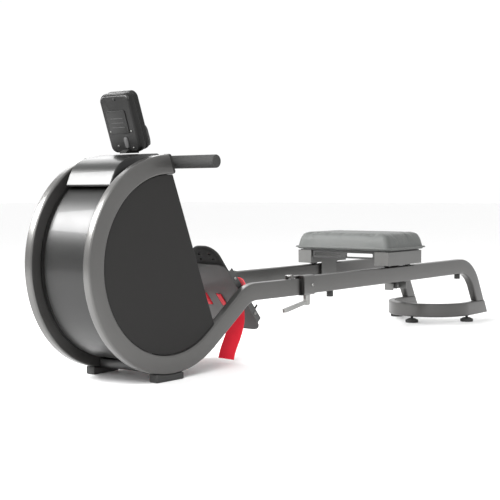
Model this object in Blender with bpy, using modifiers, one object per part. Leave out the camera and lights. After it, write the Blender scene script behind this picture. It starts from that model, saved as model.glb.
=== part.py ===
"""Folding rowing machine, modelled piece by piece.

Metres, +Z up. +X runs from the flywheel end to the tail of the rails, +Y is the far side.
The ring centre is above X = 0 and the floor is Z = 0.
"""

import math

import bmesh
import bpy
from mathutils import Matrix, Vector

GAP = 0.0003                  # left between two pieces that touch
CLEARANCE = 0.0006            # left round a piece that turns or slides

# ring frames, one on each side, splayed so that they open towards the rails
RING_RADIUS = 0.285           # outer radius of the ring
RING_HEIGHT = 0.301           # height of the ring centre
TUBE_WIDTH = 0.050            # frame tube, seen from the side
TUBE_DEPTH = 0.026            # frame tube, across the machine
TUBE_WALL = 0.002
TUBE_CORNER = 0.0055
FRAME_HALF_WIDTH = 0.130      # outer face of a ring, above the ring centre
SPLAY = 0.045                 # sideways run of the frame per metre of length
RISER_ANGLE = math.radians(36)
RISER_BEND = 0.105            # centreline radius where the riser turns level
STUB_HEIGHT = 0.207           # centreline height of the level stub
STUB_END = 0.540
TOP_CUT_ANGLE = math.radians(20)
FRAME_ARC_STEP = 7.4          # degrees between two sections of the bent ring

# rails and tail
RAIL_TOP = 0.2375
RAIL_WIDTH = 0.0535
RAIL_DEPTH = 0.028
RAIL_HALF_WIDTH = 0.1635      # outer face of a rail
RAIL_START = 0.556
RAIL_CORNER_X = 1.6756        # where the rail's top line meets the leg's rear line
LEG_ANGLE = math.radians(60)  # how far the leg turns down from level
RAIL_BEND = 0.147
LOOP_BOTTOM = 0.022
LOOP_WIDTH = 0.050
LOOP_DEPTH = 0.026
LOOP_CENTRE_X = 1.648
FOOT_DISC_RADIUS = 0.024
FOOT_STEM = 0.005

# sleeves that hold the rails, hinge and locking levers
SLEEVE_START = 0.548
SLEEVE_LENGTH = 0.057
SLEEVE_WALL = 0.003
HINGE_X = 0.508
HINGE_PIN_RADIUS = 0.0035
EAR_ROUND = 0.0065
LEVER_X = 0.583
LEVER_ARM = 0.112
LEVER_STEM = 0.004
LEVER_BOTTOM = 0.150
LEVER_DROOP = math.radians(9)
LEVER_THICKNESS = 0.010

# seat and carriage
SEAT_X = 1.129
SEAT_LENGTH = 0.245
SEAT_WIDTH = 0.366
SEAT_BOTTOM = 0.2915
SEAT_THICKNESS = 0.058
CARRIAGE_LENGTH = 0.224
CARRIAGE_OUTER = 0.1806       # outer face of a carriage bracket
CARRIAGE_INNER = 0.1265
CARRIAGE_TOP = 0.2885
CARRIAGE_SKIRT = 0.2435       # lower edge of the outer wall
FRONT_RIB_BOTTOM = 0.264      # lower edge of the windowed rib under the seat
REAR_RIB_BOTTOM = 0.2785
PLATE = 0.003                 # pressed steel sheet
ROLLER_RADIUS = 0.019
ROLLER_WIDTH = 0.022
ROLLER_SPREAD = 0.130
ROLLER_AXLE = 0.004
KEEPER_RADIUS = 0.0095
KEEPER_DROP = 0.003           # free height between a lower roller and its rail
KEEPER_X = -0.0195            # lower roller, from the middle of the carriage
TAB_FRONT = -0.0445           # hanging tab of the carriage, from its middle
TAB_REAR = 0.0475
TAB_BOTTOM = 0.158
STOP_RADIUS = 0.0105
STOP_LENGTH = 0.018
FRONT_STOP_X = 0.710
REAR_STOP_X = 1.5685

# housing
PANEL_THICKNESS = 0.003
PANEL_RECESS = 0.006
COVER_WALL = 0.003
COVER_RADIUS = 0.257
COVER_SHOULDER = 0.008
REAR_EDGE_TOP = (0.0097, 0.5383)
REAR_EDGE_ANGLE = math.radians(21.2)
REAR_WALL_TOP = (-0.0071, 0.5805)

# drive
FLYWHEEL_X = -0.055
FLYWHEEL_Z = 0.315
FLYWHEEL_RADIUS = 0.130
FLYWHEEL_RIM = 0.018           # width of the heavy rim
FLYWHEEL_Y = -0.062
PULLEY_RADIUS = 0.026
BELT_Y = -0.034
BELT_WIDTH = 0.012
BELT_THICKNESS = 0.003
DRUM_X = 0.000
DRUM_Z = 0.150
DRUM_RADIUS = 0.042
DRUM_PULLEY_RADIUS = 0.070
STRAP_WIDTH = 0.025
STRAP_THICKNESS = 0.0016
IDLER_RADIUS = 0.014
IDLER_PIN = 0.004
STRAP_END_X = 0.0145
AXLE_RADIUS = 0.006

# handle
HANDLE_X = 0.050
HANDLE_Z = 0.568
HANDLE_HALF_LENGTH = 0.240
GRIP_RADIUS = 0.0172
GRIP_LENGTH = 0.165
BAR_RADIUS = 0.0125
BAR_WALL = 0.002
YOKE_HALF = 0.014
CRADLE_HALF = 0.064
CRADLE_GAP_HALF = 0.050
CRADLE_DEPTH = 0.034

# console
CONSOLE_PIVOT_X = -0.0215
CONSOLE_PIVOT_Z = 0.604
CONSOLE_LEAN = math.radians(20)
CONSOLE_WIDTH = 0.106
CONSOLE_DROP = 0.008          # case below its pivot
CONSOLE_HEIGHT = 0.150        # case above its pivot
CONSOLE_THICKNESS = 0.040
CONSOLE_SHIFT = 0.007         # middle of the case, in front of its pivot
LEDGE_DEPTH = 0.032
LEDGE_HEIGHT = 0.062
LUG_HALF = 0.012
LUG_RADIUS = 0.0055
CONSOLE_PIN = 0.0025

# footrest
FOOTREST_X = 0.3225           # middle of the platform's underside
FOOTREST_Z = 0.1875
FOOTREST_TILT = math.radians(49)
FOOTREST_LENGTH = 0.262
FOOTREST_HALF_WIDTH = 0.112
FOOTREST_FLANGE = 0.020
FOOT_PLATE_Y = 0.057
FOOT_PLATE_WIDTH = 0.096
FOOT_PLATE_LENGTH = 0.292
FOOT_PLATE_THICKNESS = 0.008
FOOT_STRAP_WIDTH = 0.045
FOOT_STRAP_THICKNESS = 0.002
FOOT_PLATE_X = -0.049         # middle of a foot plate, down the slope from the platform's
STRAP_SLOT_X = 0.010          # strap slots, down the slope
STRAP_SLOT_INNER = 0.018
STRAP_SLOT_OUTER = 0.098
STRAP_ARCH = 0.070            # height of the strap over the foot
STRAP_SHOULDER = 0.030        # height where the strap starts to arch
STRAP_HANG = 0.160            # drop of the loose end below its slot
STRAP_LEAN = 0.25             # forward run of the loose end for each metre it drops
STRAP_DRIFT = 0.023           # how far the loose end swings inwards
STRAP_TURN = 0.012            # from the sewn end under the platform to the outer slot
HEEL_RADIUS = 0.036
HEEL_HEIGHT = 0.045
HEEL_REACH = 62                # degrees the cup's wall reaches round on each side, clear of the strap
HEEL_BASE = 0.004
HEEL_TOE = 0.030              # how far the cup's base reaches up the slope
HEEL_X = 0.068                # middle of the heel cup, down the slope

# cross members, drive bracket
CROSS_TUBE_Z = 0.0305
CROSS_TUBE_HEIGHT = 0.024
REAR_TUBE_X = 0.205
REAR_TUBE_Z = 0.125
REAR_TUBE_RADIUS = 0.014
BRACKET_NEAR_Y = -0.084
BRACKET_FAR_Y = 0.030
BRACKET_BOTTOM = 0.055
BRACKET_PLATE = 0.004
IDLER_X = -0.035
MAGNET_PIVOT_ANGLE = math.radians(72)

# front feet
FOOT_LENGTH = 0.100
FOOT_DEPTH = 0.030
FOOT_X = -0.011

# worked out from the sizes above
RING_CENTRELINE = RING_RADIUS - TUBE_WIDTH / 2
SPLAY_ANGLE = math.atan(SPLAY)
RAIL_CENTRE_Z = RAIL_TOP - RAIL_WIDTH / 2
RAIL_BOTTOM = RAIL_TOP - RAIL_WIDTH
RAIL_Y = RAIL_HALF_WIDTH - RAIL_DEPTH / 2
LOOP_Y = RAIL_HALF_WIDTH - LOOP_DEPTH / 2
LOOP_TOP = LOOP_BOTTOM + LOOP_WIDTH
CARRIAGE_X = SEAT_X - 0.0035
CARRIAGE_HALF = CARRIAGE_LENGTH / 2
HINGE_Z = RAIL_TOP + SLEEVE_WALL - 0.0005
ROLLER_Z = RAIL_TOP + GAP + ROLLER_RADIUS
KEEPER_Z = RAIL_BOTTOM - KEEPER_DROP - KEEPER_RADIUS
IDLER_Z = HANDLE_Z - IDLER_RADIUS - STRAP_THICKNESS / 2 - GAP
TOP_FACE = PLATE + GAP        # foot plates lie on the platform
MAGNET_PIVOT_X = FLYWHEEL_X + (FLYWHEEL_RADIUS + 0.0165) * math.cos(MAGNET_PIVOT_ANGLE)
MAGNET_PIVOT_Z = FLYWHEEL_Z + (FLYWHEEL_RADIUS + 0.0165) * math.sin(MAGNET_PIVOT_ANGLE)
SIDES = (("near", -1), ("far", 1))


# ---------------------------------------------------------------- helpers

for old in list(bpy.data.objects):
    bpy.data.objects.remove(old, do_unlink=True)

parts = bpy.data.collections.new("rowing_machine")
guides = bpy.data.collections.new("guides")
bpy.context.scene.collection.children.link(parts)
bpy.context.scene.collection.children.link(guides)


def finish(name, colour, roughness, metallic=0.0):
    """A plain Principled material."""
    look = bpy.data.materials.new(name)
    look.use_nodes = True
    shader = look.node_tree.nodes["Principled BSDF"]
    shader.inputs["Base Color"].default_value = (*colour, 1.0)
    shader.inputs["Roughness"].default_value = roughness
    shader.inputs["Metallic"].default_value = metallic
    return look


FRAME_PAINT = finish("frame_paint", (0.19, 0.185, 0.175), 0.38, 0.6)
BLACK_GLOSS = finish("black_gloss", (0.02, 0.02, 0.019), 0.15)
BLACK_MATT = finish("black_matt", (0.045, 0.045, 0.043), 0.55)
BLACK_STEEL = finish("black_steel", (0.05, 0.05, 0.048), 0.45, 0.3)
BARE_STEEL = finish("bare_steel", (0.55, 0.55, 0.54), 0.3, 1.0)
CARRIAGE_PAINT = finish("carriage_paint", (0.16, 0.16, 0.155), 0.4, 0.5)
CAST_IRON = finish("cast_iron", (0.12, 0.12, 0.12), 0.6, 0.9)
RUBBER = finish("rubber", (0.02, 0.02, 0.02), 0.8)
FOAM = finish("foam", (0.035, 0.035, 0.034), 0.9)
VINYL = finish("vinyl", (0.28, 0.29, 0.28), 0.5)
NYLON = finish("nylon", (0.06, 0.06, 0.06), 0.5)
WEBBING = finish("webbing", (0.03, 0.03, 0.03), 0.85)
RED_WEBBING = finish("red_webbing", (0.75, 0.0, 0.02), 0.75)


def place(name, data, look, location=(0, 0, 0), rotation=(0, 0, 0), parent=None):
    """Put mesh or curve data into the parts collection as a named object."""
    obj = bpy.data.objects.new(name, data)
    data.name = name
    if look is not None:
        data.materials.clear()
        data.materials.append(look)
    obj.location = location
    obj.rotation_euler = rotation
    obj.parent = parent
    parts.objects.link(obj)
    return obj


def empty(name, location, rotation=(0, 0, 0), parent=None):
    """An empty that other pieces are parented to."""
    obj = bpy.data.objects.new(name, None)
    obj.location = location
    obj.rotation_euler = rotation
    obj.parent = parent
    guides.objects.link(obj)
    return obj


def as_cutter(obj):
    """Move an object to the guides, so that it only shapes other pieces."""
    parts.objects.unlink(obj)
    guides.objects.link(obj)
    obj.hide_render = True
    obj.display_type = 'WIRE'
    return obj


def combine(obj, other, operation='DIFFERENCE'):
    """Cut or join one piece with another, which then only serves as a guide."""
    if other.name in parts.objects:
        as_cutter(other)
    change = obj.modifiers.new(operation.title(), 'BOOLEAN')
    change.operation = operation
    change.object = other
    return obj


def mesh_of(bm, name):
    """Turn a bmesh into a mesh."""
    mesh = bpy.data.meshes.new(name)
    bm.to_mesh(mesh)
    bm.free()
    return mesh


def curve_mesh(curve):
    """The closed or open mesh that a curve describes, with its caps welded on."""
    source = bpy.data.objects.new("curve_source", curve)
    guides.objects.link(source)
    bpy.context.view_layer.update()
    graph = bpy.context.evaluated_depsgraph_get()
    mesh = bpy.data.meshes.new_from_object(source.evaluated_get(graph))
    bpy.data.objects.remove(source, do_unlink=True)
    bm = bmesh.new()
    bm.from_mesh(mesh)
    bmesh.ops.remove_doubles(bm, verts=bm.verts, dist=0.00001)
    bmesh.ops.recalc_face_normals(bm, faces=bm.faces)
    bm.to_mesh(mesh)
    bm.free()
    return mesh


def box(name, size, centre, look, location=(0, 0, 0), rotation=(0, 0, 0), parent=None):
    """A block of the given size about its centre."""
    bm = bmesh.new()
    shape = Matrix.Translation(centre) @ Matrix.Diagonal((*size, 1.0))
    bmesh.ops.create_cube(bm, size=1.0, matrix=shape)
    return place(name, mesh_of(bm, name), look, location, rotation, parent)


def rod(name, radius, length, look, location=(0, 0, 0), axis="Y", parent=None, segments=24):
    """A round bar of the given length, centred on its location."""
    turn = {"X": (0, math.pi / 2, 0), "Y": (math.pi / 2, 0, 0), "Z": (0, 0, 0)}[axis]
    bm = bmesh.new()
    bmesh.ops.create_cone(bm, cap_ends=True, segments=segments, radius1=radius,
                          radius2=radius, depth=length)
    obj = place(name, mesh_of(bm, name), look, location, turn, parent)
    smooth(obj)
    return obj


def smooth(obj):
    """Shade a round piece smooth, keeping its edges sharp."""
    obj.data.shade_smooth()
    obj.data.set_sharp_from_angle(angle=math.radians(35))


def turned(name, profile, look, location=(0, 0, 0), rotation=(math.pi / 2, 0, 0), parent=None,
           steps=32, angle=math.tau, closed=False):
    """A turned piece: (radius, height) points down its outer side, spun about local Z."""
    bm = bmesh.new()
    verts = [bm.verts.new((radius, 0, height)) for radius, height in profile]
    for first, second in zip(verts, verts[1:]):
        bm.edges.new((first, second))
    if closed:
        bm.edges.new((verts[-1], verts[0]))
    obj = place(name, mesh_of(bm, name), look, location, rotation, parent)
    spin = obj.modifiers.new("Spin", 'SCREW')
    spin.angle = angle
    spin.steps = steps
    spin.render_steps = steps
    spin.use_merge_vertices = True
    spin.merge_threshold = 0.00001
    spin.use_smooth_shade = True
    return obj


def spline_of(curve, points, cyclic):
    """Add one straight-sided spline to a curve."""
    spline = curve.splines.new('POLY')
    spline.points.add(len(points) - 1)
    for target, point in zip(spline.points, points):
        target.co = (*point, 1.0) if len(point) == 3 else (*point, 0.0, 1.0)
    spline.use_cyclic_u = cyclic


def outline_mesh(name, loops, thickness):
    """A flat outline in local XY, with holes as further loops, and half its thickness each way."""
    curve = bpy.data.curves.new(name, 'CURVE')
    curve.dimensions = '2D'
    curve.fill_mode = 'BOTH'
    curve.extrude = thickness / 2
    for points in loops:
        spline_of(curve, points, True)
    return curve_mesh(curve)


def outline(name, loops, thickness, look, location=(0, 0, 0), rotation=(0, 0, 0), parent=None):
    """A flat piece of even thickness cut to an outline."""
    return place(name, outline_mesh(name, loops, thickness), look, location, rotation, parent)


def rounded_rectangle(width, height, radius, steps=3, centre=(0, 0)):
    """Corner points of a rectangle with round corners, anticlockwise."""
    points = []
    for index, (sx, sy) in enumerate(((1, 1), (-1, 1), (-1, -1), (1, -1))):
        cx = centre[0] + sx * (width / 2 - radius)
        cy = centre[1] + sy * (height / 2 - radius)
        points += arc((cx, cy), radius, index * 90, index * 90 + 90, steps)
    return points


def arc(centre, radius, start, end, steps):
    """Points along an arc, from one angle to another, in degrees."""
    angles = [math.radians(start + (end - start) * i / steps) for i in range(steps + 1)]
    return [(centre[0] + radius * math.cos(a), centre[1] + radius * math.sin(a)) for a in angles]


def square_tube(name, path, width, depth, look, parent=None, location=(0, 0, 0),
                rotation=(0, 0, 0)):
    """A hollow tube of rounded rectangular section along a path in local XY, open at its ends."""
    section = bpy.data.curves.new(name + "_section", 'CURVE')
    section.dimensions = '2D'
    spline_of(section, rounded_rectangle(width, depth, TUBE_CORNER), True)
    guide = bpy.data.objects.new(name + "_section", section)
    guide.hide_render = True
    guide.display_type = 'WIRE'
    guides.objects.link(guide)
    curve = bpy.data.curves.new(name, 'CURVE')
    curve.dimensions = '3D'
    curve.twist_mode = 'Z_UP'
    curve.bevel_mode = 'OBJECT'
    curve.bevel_object = guide
    spline_of(curve, path, False)
    obj = place(name, curve_mesh(curve), look, location, rotation, parent)
    wall = obj.modifiers.new("Wall", 'SOLIDIFY')
    wall.thickness = TUBE_WALL
    wall.offset = -1.0
    wall.use_even_offset = True
    smooth(obj)
    return obj


def round_edges(obj, width, segments=2, angle=30):
    """Round a piece's edges over."""
    bevel = obj.modifiers.new("Round", 'BEVEL')
    bevel.width = width
    bevel.segments = segments
    bevel.limit_method = 'ANGLE'
    bevel.angle_limit = math.radians(angle)
    return obj


def meet(point, direction, other, way):
    """Where two straight lines in a plane cross."""
    cross = direction[0] * way[1] - direction[1] * way[0]
    along = ((other[0] - point[0]) * way[1] - (other[1] - point[1]) * way[0]) / cross
    return (point[0] + direction[0] * along, point[1] + direction[1] * along)


def band(path, thickness):
    """The closed outline of a strip of even thickness along a path."""
    left = []
    right = []
    for index, point in enumerate(path):
        before = Vector(path[max(index - 1, 0)])
        after = Vector(path[min(index + 1, len(path) - 1)])
        along = (after - before).normalized()
        across = Vector((-along.y, along.x)) * thickness / 2
        left.append(tuple(Vector(point) + across))
        right.append(tuple(Vector(point) - across))
    return left + right[::-1]


# ---------------------------------------------------------------- frame

root = bpy.data.objects.new("machine", None)
guides.objects.link(root)


def ring_point(radius, degrees):
    """A point on a circle about the ring centre, seen from the side."""
    angle = math.radians(degrees)
    return (radius * math.cos(angle), RING_HEIGHT + radius * math.sin(angle))


RISER_DEGREES = math.degrees(RISER_ANGLE)
RISER_WAY = (math.cos(RISER_ANGLE), math.sin(RISER_ANGLE))
RISER_FOOT = ring_point(RING_CENTRELINE, 270 + RISER_DEGREES)
REAR_WAY = (math.sin(REAR_EDGE_ANGLE), -math.cos(REAR_EDGE_ANGLE))


def frame_place(side):
    """Location and rotation that stand a flat side piece in a frame's splayed plane."""
    return (0, side * (FRAME_HALF_WIDTH - TUBE_DEPTH / 2), 0), (math.pi / 2, 0, side * SPLAY_ANGLE)


def frame_path():
    """Centreline of the ring, the riser and the level stub."""
    sweep = 270 + RISER_DEGREES - 84
    path = arc((0, RING_HEIGHT), RING_CENTRELINE, 84, 84 + sweep, round(sweep / FRAME_ARC_STEP))
    corner = meet(RISER_FOOT, RISER_WAY, (0, STUB_HEIGHT), (1, 0))
    reach = RISER_BEND * math.tan(RISER_ANGLE / 2)
    centre = (corner[0] + reach, STUB_HEIGHT - RISER_BEND)
    path += arc(centre, RISER_BEND, 90 + RISER_DEGREES, 90, 5)
    return path + [(STUB_END, STUB_HEIGHT)]


def front_frame(name, side):
    """One ring, riser and stub, with the two ears of the rail hinge."""
    location, rotation = frame_place(side)
    tube = square_tube(name, frame_path(), TUBE_WIDTH, TUBE_DEPTH, FRAME_PAINT,
                       location=location, rotation=rotation)
    cut_size = 0.2
    middle = (math.cos(TOP_CUT_ANGLE) * cut_size / 2,
              RING_HEIGHT + RING_CENTRELINE + math.sin(TOP_CUT_ANGLE) * cut_size / 2)
    end = box(name + "_end", (cut_size, cut_size, cut_size), (0, 0, 0), None,
              (middle[0], location[1], middle[1]), (0, -TOP_CUT_ANGLE, 0))
    combine(tube, end)
    stub_top = STUB_HEIGHT + TUBE_WIDTH / 2
    for number, ear_y in enumerate(hinge_ears()):
        bottom = stub_top - TUBE_WALL / 2
        height = HINGE_Z + EAR_ROUND - bottom
        ear = box("%s_ear%d" % (name, number), (2 * EAR_ROUND, PLATE, height),
                  (0, 0, 0), None, (HINGE_X, side * ear_y, bottom + height / 2))
        combine(tube, ear, 'UNION')
    pin_hole = rod(name + "_pin_hole", HINGE_PIN_RADIUS + GAP, 0.1, None,
                   (HINGE_X, side * hinge_middle(), HINGE_Z))
    combine(tube, pin_hole)
    return tube


def hinge_middle():
    """Sideways middle of the stub where the hinge stands on it."""
    return FRAME_HALF_WIDTH + SPLAY * HINGE_X - TUBE_DEPTH / 2


def hinge_ears():
    """Sideways places of the two ears."""
    spread = TUBE_DEPTH / 2 - TUBE_CORNER / 3 - PLATE / 2
    return hinge_middle() - spread, hinge_middle() + spread


wedges = {}
for label, side in SIDES:
    wedge_size = 1.2
    wedges[side] = as_cutter(box(
        label + "_wedge", (wedge_size, 0.2, wedge_size), (0, side * 0.1, 0), None,
        (0, side * (FRAME_HALF_WIDTH - TUBE_DEPTH - GAP), RING_HEIGHT), (0, 0, side * SPLAY_ANGLE)))


def between_frames(obj):
    """Trim a cross piece to the splayed inner faces of the two frames."""
    for wedge in wedges.values():
        combine(obj, wedge)
    return obj


def side_panel(name, side):
    """The sheet that fills a ring, up to its slanted rear edge."""
    inside = (RING_RADIUS - TUBE_WIDTH) * math.cos(math.radians(FRAME_ARC_STEP / 2)) - 2 * GAP
    rear = (REAR_EDGE_TOP[0] - GAP, REAR_EDGE_TOP[1])
    start = math.degrees(math.acos(REAR_EDGE_TOP[0] / inside))
    points = arc((0, RING_HEIGHT), inside, start, 270 + RISER_DEGREES, 34)
    points.append(meet(points[-1], RISER_WAY, rear, REAR_WAY))
    location, rotation = frame_place(side)
    out = TUBE_DEPTH / 2 - PANEL_RECESS - PANEL_THICKNESS / 2
    location = (location[0] + out * math.sin(SPLAY_ANGLE) * -1, location[1] + side * out, 0)
    return outline(name, [points], PANEL_THICKNESS, BLACK_MATT, location, rotation)


def front_foot(name, side):
    """The block under a ring, hollowed on top to the ring's curve."""
    seat = RING_RADIUS + GAP
    low = FOOT_X - FOOT_LENGTH / 2
    high = FOOT_X + FOOT_LENGTH / 2
    first = math.degrees(math.acos(low / seat))
    last = math.degrees(math.acos(high / seat))
    points = [(low, 0), (high, 0)] + arc((0, RING_HEIGHT), seat, -last, -first, 12)
    location, rotation = frame_place(side)
    return outline(name, [points], FOOT_DEPTH, RUBBER, location, rotation)


def cross_tubes():
    """The rectangular tube under the housing and the round one behind it."""
    width = TUBE_WIDTH
    loops = [rounded_rectangle(width, CROSS_TUBE_HEIGHT, 0.004, 2),
             rounded_rectangle(width - 2 * TUBE_WALL, CROSS_TUBE_HEIGHT - 2 * TUBE_WALL, 0.002, 2)]
    span = 2 * FRAME_HALF_WIDTH
    front = outline("front_cross_tube", loops, span, BLACK_STEEL, (FOOT_X, 0, CROSS_TUBE_Z),
                    (math.pi / 2, 0, 0))
    between_frames(front)
    inner = REAR_TUBE_RADIUS - TUBE_WALL
    profile = [(REAR_TUBE_RADIUS, span / 2), (REAR_TUBE_RADIUS, -span / 2),
               (inner, -span / 2), (inner, span / 2)]
    rear = turned("rear_cross_tube", profile, BLACK_STEEL, (REAR_TUBE_X, 0, REAR_TUBE_Z),
                  steps=20, closed=True)
    between_frames(rear)


# ---------------------------------------------------------------- housing

def cover_end_angle():
    """Where the rear wall meets the inside of the drum-shaped cover, in degrees."""
    inside = COVER_RADIUS - COVER_WALL
    start = Vector((REAR_WALL_TOP[0], REAR_WALL_TOP[1] - RING_HEIGHT))
    way = Vector(REAR_WAY)
    along = -start.dot(way)
    off = (start + way * along).length
    point = start + way * (along + math.sqrt(inside ** 2 - off ** 2))
    return math.degrees(math.atan2(point.y, point.x)), point + Vector((0, RING_HEIGHT))


def front_cover():
    """The drum-shaped shell round the front and underside of the housing."""
    start = 124
    end = 360 + cover_end_angle()[0]
    half = FRAME_HALF_WIDTH
    side_radius = COVER_RADIUS - 0.005
    profile = [(side_radius, half), (side_radius, 0.050 + COVER_SHOULDER), (COVER_RADIUS, 0.050),
               (COVER_RADIUS, -0.050), (side_radius, -0.050 - COVER_SHOULDER), (side_radius, -half)]
    cover = turned("front_cover", profile, BLACK_GLOSS, (0, 0, RING_HEIGHT),
                   (math.pi / 2, -math.radians(start), 0), steps=32, angle=math.radians(end - start))
    wall = cover.modifiers.new("Wall", 'SOLIDIFY')
    wall.thickness = COVER_WALL
    wall.offset = -1.0
    return between_frames(cover)


def top_cover():
    """The hood over the drum: a raised middle band between two lower shoulders."""
    band_path = [(-0.175, 0.505), (-0.165, 0.528), (-0.153, 0.549), (-0.135, 0.5646),
                 (-0.116, 0.574), (-0.080, 0.583), (-0.040, 0.5885), (-0.006, 0.590)]
    side_path = [ring_point(0.256 + 0.028 * min(1, i / 4), 126.5 - i * 5.0) for i in range(8)]
    rows = ((FRAME_HALF_WIDTH, side_path), (0.050 + COVER_SHOULDER, side_path), (0.050, band_path),
            (-0.050, band_path), (-0.050 - COVER_SHOULDER, side_path), (-FRAME_HALF_WIDTH, side_path))
    bm = bmesh.new()
    grid = [[bm.verts.new((x, y, z)) for x, z in path] for y, path in rows]
    for first, second in zip(grid, grid[1:]):
        for i in range(len(first) - 1):
            bm.faces.new((first[i], first[i + 1], second[i + 1], second[i]))
    bmesh.ops.recalc_face_normals(bm, faces=bm.faces)
    cover = place("top_cover", mesh_of(bm, "top_cover"), BLACK_GLOSS)
    smooth(cover)
    wall = cover.modifiers.new("Wall", 'SOLIDIFY')
    wall.thickness = COVER_WALL
    wall.offset = -1.0
    return between_frames(cover)


def rear_cover():
    """The slanted wall behind the drum, with the slot that the pull strap leaves by."""
    top = Vector(REAR_WALL_TOP)
    bottom = cover_end_angle()[1]
    length = (Vector(bottom) - top).length - 0.006
    centre = top + Vector(REAR_WAY) * length / 2
    slot_place = (top.y - HANDLE_Z) / math.cos(REAR_EDGE_ANGLE)
    slot = rounded_rectangle(0.032, 0.010, 0.003, 2, (0, length / 2 - slot_place))
    loops = [rounded_rectangle(2 * FRAME_HALF_WIDTH, length, 0.001, 1), slot]
    cover = outline("rear_cover", loops, COVER_WALL, BLACK_GLOSS, (centre.x, 0, centre.y),
                    (math.pi / 2 - REAR_EDGE_ANGLE, 0, math.pi / 2))
    return between_frames(cover)


# ---------------------------------------------------------------- drive

def xz_plate(name, loops, y, thickness, look, parent=None):
    """A flat plate drawn in the side view and standing at a sideways place."""
    return outline(name, loops, thickness, look, (0, y, 0), (math.pi / 2, 0, 0), parent)


def axle_bracket():
    """One U-bent plate: two cheeks on a base, with the idler's pin in the far cheek."""
    half = 0.028
    near_loop = [(-half, BRACKET_BOTTOM), (half, BRACKET_BOTTOM), (half, DRUM_Z + 0.02),
                 (FLYWHEEL_X + half, FLYWHEEL_Z + half), (FLYWHEEL_X - half, FLYWHEEL_Z + half),
                 (-half, DRUM_Z + 0.02)]
    far_loop = near_loop[:3] + [(half, FLYWHEEL_Z), (MAGNET_PIVOT_X + 0.012, MAGNET_PIVOT_Z + 0.012),
                                (IDLER_X + 0.012, IDLER_Z + 0.008), (IDLER_X - 0.012, IDLER_Z + 0.008),
                                (FLYWHEEL_X - 0.020, FLYWHEEL_Z + 0.030),
                                (FLYWHEEL_X - 0.020, FLYWHEEL_Z - 0.030), (-half, DRUM_Z + 0.02)]
    bracket = xz_plate("axle_bracket", [near_loop], BRACKET_NEAR_Y, BRACKET_PLATE, BLACK_STEEL)
    combine(bracket, xz_plate("far_cheek", [far_loop], BRACKET_FAR_Y, BRACKET_PLATE, None), 'UNION')
    middle = (BRACKET_NEAR_Y + BRACKET_FAR_Y) / 2
    base = box("bracket_base", (2 * half, BRACKET_FAR_Y - BRACKET_NEAR_Y, BRACKET_PLATE), (0, 0, 0),
               None, (0, middle, BRACKET_BOTTOM + BRACKET_PLATE / 2))
    combine(bracket, base, 'UNION')
    pin_length = BRACKET_FAR_Y + STRAP_WIDTH / 2 + 0.004
    pin = rod("idler_pin", IDLER_PIN, pin_length, None, (IDLER_X, BRACKET_FAR_Y - pin_length / 2, IDLER_Z))
    combine(bracket, pin, 'UNION')
    for label, x, z, radius in (("flywheel", FLYWHEEL_X, FLYWHEEL_Z, AXLE_RADIUS + GAP),
                                ("drum", DRUM_X, DRUM_Z, AXLE_RADIUS + CLEARANCE),
                                ("magnet", MAGNET_PIVOT_X, MAGNET_PIVOT_Z, IDLER_PIN + CLEARANCE)):
        combine(bracket, rod(label + "_bore", radius, 0.4, None, (x, middle, z)))
    return bracket


def flywheel():
    """Rim, web, hub and belt pulley turned as one wheel round a bore."""
    bore = AXLE_RADIUS + CLEARANCE
    rim = FLYWHEEL_RIM / 2
    belt = FLYWHEEL_Y - BELT_Y
    side = BELT_WIDTH / 2 + 2 * GAP
    profile = [(bore, 0.012), (0.024, 0.012), (0.024, 0.003), (FLYWHEEL_RADIUS - 0.022, 0.003),
               (FLYWHEEL_RADIUS - 0.022, rim), (FLYWHEEL_RADIUS, rim), (FLYWHEEL_RADIUS, -rim),
               (FLYWHEEL_RADIUS - 0.022, -rim), (FLYWHEEL_RADIUS - 0.022, -0.003), (0.018, -0.003),
               (0.018, belt + side + 0.0015), (PULLEY_RADIUS + 0.004, belt + side + 0.0015),
               (PULLEY_RADIUS + 0.004, belt + side), (PULLEY_RADIUS, belt + side),
               (PULLEY_RADIUS, belt - side), (PULLEY_RADIUS + 0.004, belt - side),
               (PULLEY_RADIUS + 0.004, belt - side - 0.0015), (bore, belt - side - 0.0015)]
    return turned("flywheel", profile, CAST_IRON, (FLYWHEEL_X, FLYWHEEL_Y, FLYWHEEL_Z), steps=32,
                  closed=True)


def strap_drum():
    """The drum with its belt pulley and its own axle ends, turned in one."""
    belt = -BELT_Y
    side = BELT_WIDTH / 2 + 2 * GAP
    strap = STRAP_WIDTH / 2 + 0.001
    profile = [(0, -BRACKET_NEAR_Y + 0.002), (AXLE_RADIUS, -BRACKET_NEAR_Y + 0.002),
               (AXLE_RADIUS, belt + side + 0.0015), (DRUM_PULLEY_RADIUS + 0.004, belt + side + 0.0015),
               (DRUM_PULLEY_RADIUS + 0.004, belt + side), (DRUM_PULLEY_RADIUS, belt + side),
               (DRUM_PULLEY_RADIUS, belt - side), (DRUM_PULLEY_RADIUS + 0.004, belt - side),
               (DRUM_PULLEY_RADIUS + 0.004, belt - side - 0.0015), (0.020, belt - side - 0.0015),
               (0.020, strap + 0.002), (DRUM_RADIUS + 0.008, strap + 0.002),
               (DRUM_RADIUS + 0.008, strap), (DRUM_RADIUS, strap), (DRUM_RADIUS, -strap),
               (DRUM_RADIUS + 0.008, -strap), (DRUM_RADIUS + 0.008, -strap - 0.002),
               (AXLE_RADIUS, -strap - 0.002), (AXLE_RADIUS, -BRACKET_FAR_Y - 0.008),
               (0, -BRACKET_FAR_Y - 0.008)]
    return turned("strap_drum", profile, NYLON, (DRUM_X, 0, DRUM_Z), steps=28)


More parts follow.
